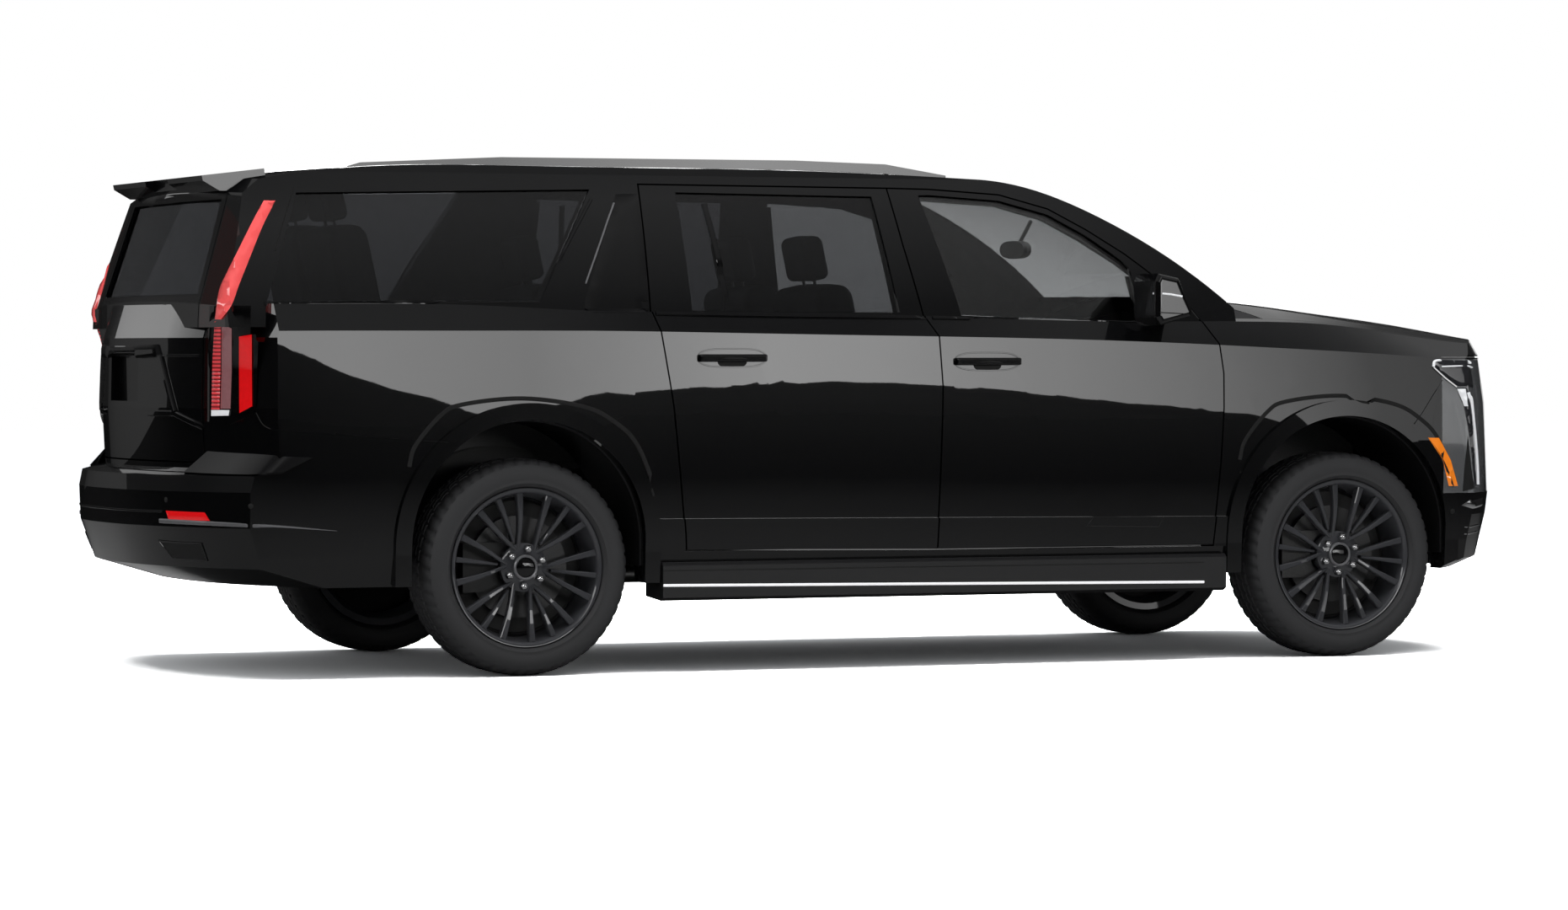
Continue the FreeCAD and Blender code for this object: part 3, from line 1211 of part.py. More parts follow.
def build_rails():
    """Roof rails, seated along the roof."""
    middle = -sz.body_half * 0.675
    points = side_points(rail_bar_shares)
    bar = strip(points, sz.rail_bar * 1.2, middle - sz.rail_bar / 2, middle + sz.rail_bar / 2)
    keep("roof_rails", both(bar.cut(outer_grown)))


def build_tank():
    """The fuel tank, inside the left-hand rail."""
    body = doc.addObject("PartDesign::Body", "fuel_tank")
    sketch = sketch_on(body, "tank_outline", "XY_Plane", "rail_bottom - tank_drop")
    wall_side = "rail_half - rail_width / 2 - seat_gap"
    start = station(1.22)
    ring(sketch, [
        (start, wall_side + " - tank_width"), (start + " + tank_length", wall_side + " - tank_width"),
        (start + " + tank_length", wall_side), (start, wall_side),
    ])
    pad = padded(body, "tank", sketch, "tank_height")
    doc.recompute()
    rounded = body.newObject("PartDesign::Fillet", "tank_rounding")
    upright = [
        "Edge%d" % (i + 1) for i, e in enumerate(pad.Shape.Edges)
        if abs(e.Vertexes[0].Z - e.Vertexes[-1].Z) > sz.tank_height / 2]
    rounded.Base = (pad, upright)
    rounded.setExpression("Radius", cells("tank_rounding"))
    settle("fuel_tank", body)


build_body()
build_mirror()
build_wheels()
build_axles()
build_frame()
build_floor()
build_liners()
build_seats()
build_dashboard()
build_powertrain()
build_exhaust()
build_boards()
build_rails()
build_tank()

doc.recompute()
faulty = [o.Name for o in doc.Objects if "Invalid" in o.State or "Error" in o.State]
faulty += [name for name, item in parts.items() if item.Shape.isNull() or not item.Shape.isValid()]
if faulty:
    raise ValueError("faulty objects: " + ", ".join(faulty))
os.makedirs("parts", exist_ok=True)
for name, item in parts.items():
    item.Shape.exportStep("parts/%s.step" % name)
print(len(parts), "sub-parts written")
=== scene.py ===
import json
import math

import bmesh
import bpy
from mathutils import Matrix, Vector, geometry
from mathutils.bvhtree import BVHTree

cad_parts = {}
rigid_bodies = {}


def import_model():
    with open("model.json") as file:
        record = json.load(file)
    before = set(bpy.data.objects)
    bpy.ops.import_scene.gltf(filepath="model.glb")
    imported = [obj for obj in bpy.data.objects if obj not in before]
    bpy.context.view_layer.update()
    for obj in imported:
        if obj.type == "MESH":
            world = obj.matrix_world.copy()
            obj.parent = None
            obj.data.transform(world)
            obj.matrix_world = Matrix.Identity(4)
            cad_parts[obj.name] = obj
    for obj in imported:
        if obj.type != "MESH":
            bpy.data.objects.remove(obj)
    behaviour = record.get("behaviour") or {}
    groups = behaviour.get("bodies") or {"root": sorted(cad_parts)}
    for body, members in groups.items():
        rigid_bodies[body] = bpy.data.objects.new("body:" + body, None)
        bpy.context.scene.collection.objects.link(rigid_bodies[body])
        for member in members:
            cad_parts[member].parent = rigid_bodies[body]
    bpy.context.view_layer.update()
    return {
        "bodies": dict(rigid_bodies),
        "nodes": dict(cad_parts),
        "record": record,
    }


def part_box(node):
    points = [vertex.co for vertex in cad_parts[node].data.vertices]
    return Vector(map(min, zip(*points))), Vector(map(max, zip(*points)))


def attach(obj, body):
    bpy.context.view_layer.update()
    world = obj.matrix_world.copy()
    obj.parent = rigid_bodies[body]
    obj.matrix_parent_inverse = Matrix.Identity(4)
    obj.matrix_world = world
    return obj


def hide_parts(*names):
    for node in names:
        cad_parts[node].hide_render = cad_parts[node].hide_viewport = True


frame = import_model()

# A full-size SUV in gloss black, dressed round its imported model. Metres, +X forward, +Y to the car's left.
nodes = frame["nodes"]
materials = {}


def add_node(tree, kind, values=None, links=None, operation=None):
    """A new shader node, with values on some of its inputs and sockets linked to others."""
    made = tree.nodes.new("ShaderNode" + kind)
    if operation:
        made.operation = operation
    for key, value in (values or {}).items():
        made.inputs[key].default_value = value
    for key, socket in (links or {}).items():
        tree.links.new(socket, made.inputs[key])
    return made


def new_shade(name, color, roughness, values=None):
    """A named material's tree and shader, ready for more nodes."""
    made = bpy.data.materials.new(name)
    made.use_nodes = True
    made.diffuse_color = (*color, 1.0)
    materials[name] = made
    shader = next(n for n in made.node_tree.nodes if n.type == "BSDF_PRINCIPLED")
    for key, value in {"Base Color": (*color, 1.0), "Roughness": roughness, **(values or {})}.items():
        shader.inputs[key].default_value = value
    return made.node_tree, shader


def noise(tree, scale, detail=3.0):
    """Noise over the piece's own space, in metres."""
    place = add_node(tree, "TexCoord")
    made = add_node(tree, "TexNoise", {"Scale": scale, "Detail": detail}, {"Vector": place.outputs["Object"]})
    return made.outputs["Fac"]


def bump(tree, shader, height, strength, distance, socket="Normal"):
    """A bump from a height into one of the shader's normals."""
    made = add_node(tree, "Bump", {"Strength": strength, "Distance": distance}, {"Height": height})
    tree.links.new(made.outputs["Normal"], shader.inputs[socket])


def spread(tree, value, low, high, socket):
    """A number that varies between two others with a 0 to 1 value."""
    ramp = add_node(tree, "MapRange", {"To Min": low, "To Max": high}, {"Value": value})
    tree.links.new(ramp.outputs["Result"], socket)


def tones(tree, value, dark, light, socket):
    """A colour that varies between two tones with a 0 to 1 value."""
    ramp = add_node(tree, "ValToRGB", {}, {"Fac": value})
    for stop, color in zip(ramp.color_ramp.elements, (dark, light)):
        stop.color = (*color, 1.0)
    tree.links.new(ramp.outputs["Color"], socket)


def dimmed(color, share):
    """A colour at a share of its strength."""
    return tuple(c * share for c in color)


GRAIN_STRENGTH = 0.35
LACQUER = {"Coat Weight": 1.0, "Coat Roughness": 0.012, "Coat IOR": 1.5, "Specular IOR Level": 0.06}
LENS_COAT = {"Coat Weight": 1.0, "Coat Roughness": 0.02}
GLASS_IOR = 1.45
DUST_ROUGHNESS = 0.012
LENS_IOR = 1.49
TINT_FADE = 0.02


def grained(name, dark, light, low, high, scale, depth, metallic=0.0):
    """A surface whose tone, gloss and relief all follow one noise."""
    tree, shader = new_shade(name, light, high, {"Metallic": metallic})
    grain = noise(tree, scale)
    tones(tree, grain, dark, light, shader.inputs["Base Color"])
    spread(tree, grain, low, high, shader.inputs["Roughness"])
    bump(tree, shader, grain, GRAIN_STRENGTH, depth)


def paint(name, color, peel=0.00004):
    """Paint under clear lacquer, with the faint unevenness that sprayed lacquer has."""
    tree, shader = new_shade(name, color, 0.28, LACQUER)
    tones(tree, noise(tree, 9.0, 2.0), dimmed(color, 0.85), color, shader.inputs["Base Color"])
    bump(tree, shader, noise(tree, 260.0, 1.0), 0.05, peel, "Coat Normal")


def glass(name, tint):
    """Tinted glass that lets the far side show, faintly dusty in places."""
    tree, shader = new_shade(name, tint, 0.0, {"Transmission Weight": 1.0, "IOR": GLASS_IOR})
    spread(tree, noise(tree, 14.0, 2.0), 0.0, DUST_ROUGHNESS, shader.inputs["Roughness"])
    return tree, shader


def two_tone_glass(name, tint, ahead, change):
    """Tinted glass behind a station along X and lighter glass ahead of it."""
    tree, shader = glass(name, tint)
    place = add_node(tree, "TexCoord")
    split = add_node(tree, "SeparateXYZ", {}, {"Vector": place.outputs["Object"]})
    step = add_node(
        tree, "MapRange", {"From Min": change, "From Max": change + TINT_FADE}, {"Value": split.outputs["X"]})
    tones(tree, step.outputs["Result"], tint, ahead, shader.inputs["Base Color"])


def lens(name, color, clear):
    """A moulded lamp lens."""
    tree, shader = new_shade(name, color, 0.06, {"Transmission Weight": clear, "IOR": LENS_IOR, **LENS_COAT})
    bump(tree, shader, noise(tree, 220.0, 0.0), 0.1, 0.0002)


def glowing(name, color, glow, roughness=0.08, ribs=0.0):
    """A glowing coloured surface: lamp light carried inside the lamps' coloured plastic covers, a painted
    glow on the reflectors and a painted highlight on the running boards' trim; moulded ribs if asked, painted
    darker and dimmer between them.
    """
    tree, shader = new_shade(
        name, color, roughness, {**LENS_COAT, "Emission Color": (*color, 1.0), "Emission Strength": glow})
    if not ribs:
        tones(tree, noise(tree, 70.0, 1.0), dimmed(color, 0.8), color, shader.inputs["Base Color"])
        return
    place = add_node(tree, "TexCoord")
    wave = add_node(tree, "TexWave", {"Scale": ribs}, {"Vector": place.outputs["Object"]})
    wave.bands_direction = "Z"
    height = wave.outputs["Fac"]
    # The grooves between the ribs are painted darker and glow less: painted shade between the moulded ribs.
    tones(tree, height, dimmed(color, 0.25), color, shader.inputs["Base Color"])
    spread(tree, height, glow * 0.1, glow, shader.inputs["Emission Strength"])
    bump(tree, shader, height, 0.6, 0.002)


paint("black_paint", (0.0018, 0.0019, 0.0023))
paint("gloss_black", (0.0015, 0.0015, 0.0018))
paint("wheel_black", (0.06, 0.061, 0.067), 0.00008)
grained("black_plastic", (0.004, 0.004, 0.0045), (0.008, 0.008, 0.009), 0.42, 0.58, 700.0, 0.00012)
grained("deep_black", (0.001, 0.001, 0.001), (0.003, 0.003, 0.003), 0.5, 0.7, 300.0, 0.0001)
grained("chassis_black", (0.008, 0.008, 0.008), (0.018, 0.018, 0.018), 0.45, 0.65, 60.0, 0.0004)
grained("cast_grey", (0.05, 0.05, 0.05), (0.1, 0.1, 0.1), 0.45, 0.65, 240.0, 0.0004, 0.7)
grained("steel", (0.2, 0.2, 0.2), (0.34, 0.34, 0.34), 0.28, 0.42, 90.0, 0.0001, 1.0)
grained("chrome", (0.55, 0.55, 0.56), (0.7, 0.7, 0.71), 0.1, 0.18, 30.0, 0.00002, 1.0)
grained("dull_metal", (0.2, 0.2, 0.21), (0.26, 0.26, 0.27), 0.3, 0.4, 60.0, 0.00002, 0.6)
grained("brake_iron", (0.035, 0.035, 0.036), (0.06, 0.06, 0.06), 0.3, 0.45, 200.0, 0.0001, 0.9)
grained("tyre", (0.026, 0.026, 0.027), (0.04, 0.04, 0.043), 0.55, 0.75, 320.0, 0.0003)
grained("seat_leather", (0.012, 0.012, 0.013), (0.026, 0.026, 0.028), 0.38, 0.52, 380.0, 0.0006)
grained("carpet", (0.008, 0.008, 0.009), (0.022, 0.022, 0.024), 0.9, 1.0, 900.0, 0.0015)
two_tone_glass("tinted_glass", (0.125, 0.128, 0.135), (0.52, 0.53, 0.54), 0.62)
glass("clear_glass", (0.52, 0.53, 0.53))
lens("red_lens", (0.012, 0.001, 0.001), 0.0)
lens("clear_lens", (0.3, 0.31, 0.32), 0.6)
lens("smoked_lens", (0.04, 0.04, 0.045), 0.3)
glowing("lit_red", (0.75, 0.085, 0.085), 0.55)
glowing("ribbed_red", (0.7, 0.05, 0.06), 0.5, 0.15, 22.0)
glowing("lit_pink", (0.32, 0.14, 0.15), 0.2)
# Red that glows at half strength on the reflectors, which give no light of their own: a painted glow.
glowing("deep_red", (0.66, 0.006, 0.008), 0.5)
glowing("bright_lens", (0.8, 0.81, 0.83), 0.45)
# Near-white that glows on the running boards' bright metal strip: a painted highlight.
glowing("bright_trim", (0.85, 0.85, 0.86), 0.6, 0.2)
glowing("amber_lens", (0.85, 0.22, 0.015), 0.45)


def dress(node, shade):
    """Gives a CAD node its finish."""
    piece = nodes[node]
    piece.data.materials.clear()
    piece.data.materials.append(materials[shade])


for part in frame["record"]["subparts"]:
    dress(part["node"], part["material_slot"])

# How far outside a surface a ray that looks for it starts.
CAST_REACH = 0.35
SHARP_ANGLE = math.radians(38)
MERGE_DISTANCE = 0.00001


class Skin:
    """A surface for trim to lie on: that of some CAD nodes, or one lofted through rows of places."""

    def __init__(self, *names, rows=()):
        corners, faces = [], []
        for name in names:
            mesh = nodes[name].data
            start = len(corners)
            corners += [v.co.copy() for v in mesh.vertices]
            faces += [[i + start for i in p.vertices] for p in mesh.polygons]
        for row in rows:
            corners += [Vector(spot) for spot in row]
        for r in range(len(rows) - 1):
            wide = len(rows[0])
            faces += [(r * wide + i, r * wide + i + 1, r * wide + wide + i + 1, r * wide + wide + i)
                      for i in range(wide - 1)]
        self.tree = BVHTree.FromPolygons(corners, faces)

    def snap(self, spot):
        """The surface's nearest place to a spot, and the way out from it."""
        place, normal = self.tree.find_nearest(Vector(spot))[:2]
        away = Vector((0.15 * place.x, place.y, 0.0))
        if normal.dot(away) < 0:
            normal = -normal
        return place, normal

    def cast(self, spot, aim):
        """The first place a ray meets, starting well outside the spot."""
        place = self.tree.ray_cast(Vector(spot) - aim * CAST_REACH, aim, 2 * CAST_REACH)[0]
        return place if place is not None else self.snap(spot)[0]


def along(points, step):
    """Evenly spaced places along a path of points."""
    points = [Vector(p) for p in points]
    places = [points[0]]
    for start, end in zip(points, points[1:]):
        count = max(1, round((end - start).length / step))
        places += [start.lerp(end, (i + 1) / count) for i in range(count)]
    return places


def rounded(points, steps=8):
    """A path drawn as a smooth curve through its points."""
    points = [Vector(p) for p in points]
    ends = [points[0] * 2 - points[1]] + points + [points[-1] * 2 - points[-2]]
    curve = []
    for a, b, c, d in zip(ends, ends[1:], ends[2:], ends[3:]):
        for i in range(steps):
            s = i / steps
            curve.append(0.5 * (2 * b + (c - a) * s + (2 * a - 5 * b + 4 * c - d) * s * s
                                + (3 * b - a - 3 * c + d) * s ** 3))
    return curve + [points[-1]]


def add_object(name, data):
    """A new object in the scene."""
    made = bpy.data.objects.new(name, data)
    bpy.context.scene.collection.objects.link(made)
    return made


def piece(name, corners, faces, shade, body, smooth=True):
    """One added piece, finished and riding on a body."""
    mesh = bpy.data.meshes.new(name)
    mesh.from_pydata([tuple(c) for c in corners], [], faces)
    mesh.validate()
    shaper = bmesh.new()
    shaper.from_mesh(mesh)
    bmesh.ops.remove_doubles(shaper, verts=shaper.verts, dist=MERGE_DISTANCE)
    bmesh.ops.recalc_face_normals(shaper, faces=shaper.faces)
    shaper.to_mesh(mesh)
    shaper.free()
    for polygon in mesh.polygons:
        polygon.use_smooth = smooth
    made = add_object(name, mesh)
    if smooth:
        mesh.set_sharp_from_angle(angle=SHARP_ANGLE)
    mesh.materials.append(materials[shade])
    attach(made, body)
    return made


def twin(name, corners, faces, shade, body):
    """A right-hand piece and its mirror image on the left."""
    piece(name + "_right", corners, faces, shade, body)
    other = [(c[0], -c[1], c[2]) for c in corners]
    piece(name + "_left", other, [f[::-1] for f in faces], shade, body.replace("right", "left"))


def circle(count):
    """Evenly spaced angles round a full turn."""
    return [2 * math.pi * i / count for i in range(count)]


def oblong(turn, power):
    """A cosine pushed outwards, for a round form with flatter ends."""
    return math.copysign(abs(math.cos(turn)) ** power, math.cos(turn))


def rings(number, count, start=0, inward=False):
    """The faces that join each ring of corners to the next."""
    faces = []
    for ring in range(number - 1):
        for i in range(count):
            a, b = start + ring * count + i, start + ring * count + (i + 1) % count
            faces.append((a, a + count, b + count, b) if inward else (a, b, b + count, a + count))
    return faces


def closed_rings(number, count, inward=False):
    """Joined rings of corners with a face over each end."""
    low, high = tuple(range(count)), tuple(range((number - 1) * count, number * count))
    return rings(number, count, 0, inward) + ([low, high[::-1]] if inward else [low[::-1], high])


# A strip's chamfered section: shares of its width across, and of its rise outwards.
SECTION = ((-0.5, -0.35), (-0.5, 0.55), (-0.32, 1.0), (0.32, 1.0), (0.5, 0.55), (0.5, -0.35))


def strip(skin, path, width, rise, step=0.03):
    """A raised strip laid along a path on a surface, with chamfered edges."""
    places = along(path, step)
    corners = []
    for i, spot in enumerate(places):
        ahead = places[min(i + 1, len(places) - 1)] - places[max(i - 1, 0)]
        base, normal = skin.snap(spot)
        across = normal.cross(ahead).normalized()
        wide = width(i / (len(places) - 1)) if callable(width) else width
        for u, lift in SECTION:
            low, out = skin.snap(base + across * u * wide)
            corners.append(low + out * lift * rise)
    return corners, closed_rings(len(places), len(SECTION))


# How near its border a patch's inner places may come, as a share of its cell.
CELL_CLEARANCE = 0.45


def patch(skin, outline, rise, edge=0.3, cell=0.02, sink=0.002, aim=None):
    """A raised area inside an outline, laid on a surface along an aim, its border at a share of its rise."""
    outline = [Vector(p) for p in outline]
    count = len(outline)
    middle = sum(outline, Vector()) / count
    normal = sum((outline[i].cross(outline[(i + 1) % count]) for i in range(count)), Vector()).normalized()
    if normal.dot(skin.snap(middle)[1]) < 0:
        normal = -normal
    if aim is not None:
        normal = -aim
    side = normal.cross(Vector((0, 0, 1)))
    if side.length < 0.1:
        side = Vector((1, 0, 0))
    side.normalize()
    up = side.cross(normal)
    border = along(outline + [outline[0]], cell)[:-1]
    flat = [Vector(((p - middle).dot(side), (p - middle).dot(up))) for p in border]
    rim = len(flat)
    low_u, high_u = min(p.x for p in flat), max(p.x for p in flat)
    low_v, high_v = min(p.y for p in flat), max(p.y for p in flat)
    for i in range(int((high_u - low_u) / cell) + 1):
        for k in range(int((high_v - low_v) / cell) + 1):
            spot = Vector((low_u + (i + 0.5) * cell, low_v + (k + 0.5) * cell))
            if min((spot - p).length for p in flat[:rim]) > cell * CELL_CLEARANCE:
                flat.append(spot)
    edges = [(i, (i + 1) % rim) for i in range(rim)]
    spots, _, triangles, origin = geometry.delaunay_2d_cdt(flat, edges, [], 1, MERGE_DISTANCE)[:4]
    used = sorted({i for t in triangles for i in t})
    number = {old: new for new, old in enumerate(used)}
    inside = {old: not any(i < rim for i in origin[old]) for old in used}
    top, bottom = [], []
    for old in used:
        spot = middle + side * spots[old].x + up * spots[old].y
        place = skin.cast(spot, -normal)
        top.append(place + normal * (rise if inside[old] else rise * edge))
        bottom.append(place - normal * sink)
    faces = [tuple(number[i] for i in t) for t in triangles]
    half = len(top)
    sides = dict.fromkeys((t[i], t[(i + 1) % 3]) for t in faces for i in range(3))
    walls = [(b, a, a + half, b + half) for a, b in sides if (b, a) not in sides]
    return top + bottom, faces + [tuple(i + half for i in t[::-1]) for t in faces] + walls


def on_side(pairs, y):
    """Places at one y, from (x, z) pairs."""
    return [(x, y, z) for x, z in pairs]


side_skin = Skin(
    "body_side_right", "front_fenders", "front_bumper", "rear_bumper", "headlamps", "tail_lamps",
    "front_door_right", "rear_door_right")
rear_skin = Skin("body_side_right", "rear_bumper", "tail_lamps", "tailgate")

# The line of sight of the photograph at the tail lamps.
SIGHT = Vector((0.272, 0.962, -0.012)).normalized()


def lay_strip(name, shade, *form, body="root"):
    """A pair of strips."""
    twin(name, *strip(*form), shade, body)


def lay_patch(name, shade, *form, body="root"):
    """A pair of patches."""
    twin(name, *patch(*form), shade, body)


def lamp_surface():
    """The smooth cover over a tail lamp: its lower plan, blended into the fuller one under the glass."""
    low = [(-2.655, -0.69), (-2.641, -0.726), (-2.617, -0.776), (-2.599, -0.812), (-2.574, -0.857),
           (-2.542, -0.911), (-2.53, -0.935), (-2.505, -0.965)]
    high = [(-2.69, -0.69), (-2.68, -0.735), (-2.668, -0.782), (-2.66, -0.827), (-2.648, -0.874),
            (-2.625, -0.922), (-2.6, -0.948), (-2.56, -0.975)]
    rows = [[(x, y, z) for x, y in low] for z in (0.9, 1.14)]
    return Skin(rows=rows + [[(x, y, z) for x, y in high] for z in (1.335, 1.42)])


def dress_tail_lamps():
    """The tall lamp on each rear corner: lit strip, ribbed column, clear column, reflector and surround."""
    cover = lamp_surface()

    def window(name, outline, rise, shade, sink=0.03):
        lay_patch(name, shade, cover, outline, rise, 0.8, 0.02, sink, SIGHT)

    window("tail_lamp_housing", [
        (-2.662, -0.779, 1.368), (-2.651, -0.716, 1.193), (-2.651, -0.706, 0.946), (-2.602, -0.801, 0.932),
        (-2.544, -0.907, 0.97), (-2.532, -0.929, 1.003), (-2.524, -0.938, 1.315), (-2.533, -0.925, 1.366)],
        0.004, "gloss_black", 0.06)
    window("tail_lamp_ribs", [
        (-2.656, -0.822, 1.312), (-2.637, -0.726, 1.162), (-2.641, -0.726, 0.99), (-2.622, -0.766, 0.99),
        (-2.618, -0.768, 1.162), (-2.648, -0.874, 1.312)], 0.016, "ribbed_red")
    window("tail_lamp_clear", [
        (-2.647, -0.88, 1.3), (-2.616, -0.772, 1.132), (-2.62, -0.77, 0.993), (-2.596, -0.818, 0.993),
        (-2.592, -0.822, 1.132), (-2.612, -0.89, 1.285)], 0.01, "lit_pink")
    # The reflector glows red though it gives no light: a painted glow.
    window("tail_reflector", [
        (-2.575, -0.856, 1.255), (-2.541, -0.902, 1.262), (-2.541, -0.91, 1.003), (-2.574, -0.857, 0.978)],
        0.012, "deep_red")
    window("tail_lamp_end", [
        (-2.641, -0.724, 0.988), (-2.598, -0.812, 0.988), (-2.6, -0.808, 0.968), (-2.641, -0.722, 0.966)],
        0.012, "bright_lens")
    strip_edge = rounded([
        (-2.457, -0.781, 1.754), (-2.508, -0.812, 1.679), (-2.567, -0.848, 1.585), (-2.614, -0.845, 1.493),
        (-2.64, -0.824, 1.423), (-2.656, -0.824, 1.318)], 4)
    strip_back = rounded([
        (-2.648, -0.876, 1.318), (-2.621, -0.922, 1.37), (-2.586, -0.899, 1.444), (-2.529, -0.861, 1.555),
        (-2.473, -0.821, 1.66), (-2.413, -0.783, 1.754)], 4)
    lay_patch("tail_lamp_strip", "lit_red", rear_skin, strip_edge + strip_back, 0.02, 0.5, 0.02, 0.002, SIGHT)


def dress_rear():
    """The tailgate's handle hood, ledge, flanks and creases, and the rear bumper's fittings."""
    gate = Skin("tailgate")
    hood = [(-2.75, -0.372, 1.228), (-2.74, -0.4, 1.186), (-2.74, 0.4, 1.186), (-2.75, 0.372, 1.228)]
    piece("tailgate_handle_hood", *patch(gate, hood, 0.016, 0.8), "gloss_black", "tailgate")
    ledge = [(-2.654, -0.684, 0.924), (-2.716, -0.512, 0.974), (-2.722, 0.0, 0.976), (-2.716, 0.512, 0.974),
             (-2.654, 0.684, 0.924)]
    piece("tailgate_ledge", *strip(gate, ledge, 0.022, 0.01), "black_paint", "tailgate")
    for side, word in ((-1, "right"), (1, "left")):
        flank = [(-2.738, side * 0.402, 1.186), (-2.717, side * 0.513, 0.98)]
        piece("tailgate_flank_" + word, *strip(gate, flank, 0.02, 0.012), "black_paint", "tailgate")
        crease = [(-2.738, side * 0.402, 1.187), (-2.655, side * 0.655, 1.187)]
        piece("tailgate_crease_" + word, *strip(gate, crease, 0.008, 0.004), "black_paint", "tailgate")

    bumper = Skin("rear_bumper", "body_side_right")
    top = [(-2.65, -0.695, 0.838), (-2.6, -0.8, 0.834), (-2.532, -0.928, 0.83), (-2.47, -0.995, 0.826),
           (-2.335, -1.013, 0.82)]
    low = [(-2.712, -0.655, 0.762), (-2.66, -0.79, 0.763), (-2.59, -0.925, 0.764), (-2.53, -1.0, 0.765),
           (-2.461, -1.009, 0.766)]
    twin("bumper_shoulder", *shelf(bumper, top, low, 0.018), "black_paint", "root")
    reflector = [
        (-2.779, -0.604, 0.618), (-2.691, -0.808, 0.616), (-2.678, -0.83, 0.586), (-2.771, -0.621, 0.584)]
    # The bumper's reflector glows red though it gives no light: a painted glow.
    lay_patch("bumper_reflector", "deep_red", bumper, reflector, 0.006)
    line = rounded([
        (-2.79, -0.564, 0.58), (-2.73, -0.722, 0.578), (-2.676, -0.83, 0.576), (-2.58, -0.955, 0.573),
        (-2.471, -0.998, 0.568), (-2.249, -1.001, 0.549)])
    lay_strip("bumper_trim_line", "dull_metal", bumper, line, lambda s: 0.016 * (1.05 - s ** 3), 0.005)
    opening = [(-2.783, -0.52, 0.504), (-2.69, -0.762, 0.501), (-2.667, -0.76, 0.44), (-2.743, -0.572, 0.44)]
    # A flat black sheet over the opening: painted shade for the dark inside the hole.
    lay_patch("exhaust_opening", "deep_black", bumper, opening, 0.002, 1.0)
    lay_strip("exhaust_opening_rim", "gloss_black", bumper, opening + [opening[0]], 0.008, 0.004)
    step_line = [(-2.863, 0.0, 0.614), (-2.845, -0.3, 0.614), (-2.785, -0.585, 0.615)]
    lay_strip("bumper_step_line", "gloss_black", bumper, rounded(step_line), 0.007, 0.003)
    for index, spot in enumerate(((-2.779, -0.607, 0.658), (-2.573, -1.0, 0.642))):
        twin(f"parking_sensor_rear_{index}", *disc(*bumper.snap(spot), 0.01, 0.002), "deep_black", "root")


def shelf(skin, top, bottom, out):
    """A face that leaves the surface along its top path and stands out along its bottom one."""
    corners = []
    upper = rounded(top, 6)
    for a, b in zip(upper, rounded(bottom, 6)):
        high, away = skin.snap(a)
        low, normal = skin.snap(b)
        level = Vector((normal.x, normal.y, 0)).normalized()
        corners += [high - away * 0.001, low + level * out, low + level * out * 0.6 - Vector((0, 0, 0.006)),
                    low - level * 0.004 - Vector((0, 0, 0.008))]
    return corners, closed_rings(len(upper), 4)


def disc(middle, normal, radius, rise, count=24):
    """A small round button on a surface."""
    side = normal.cross(Vector((0, 0, 1))).normalized()
    up = side.cross(normal)
    corners = [middle + normal * rise]
    for level, scale in ((rise, 0.85), (rise * 0.5, 1.0), (-0.002, 1.0)):
        for turn in circle(count):
            away = (side * math.cos(turn) + up * math.sin(turn)) * radius * scale
            corners.append(middle + away + normal * level)
    top = [(0, 1 + i, 1 + (i + 1) % count) for i in range(count)]
    return corners, top + rings(3, count, 1, True) + [tuple(range(1 + 2 * count, 1 + 3 * count))]


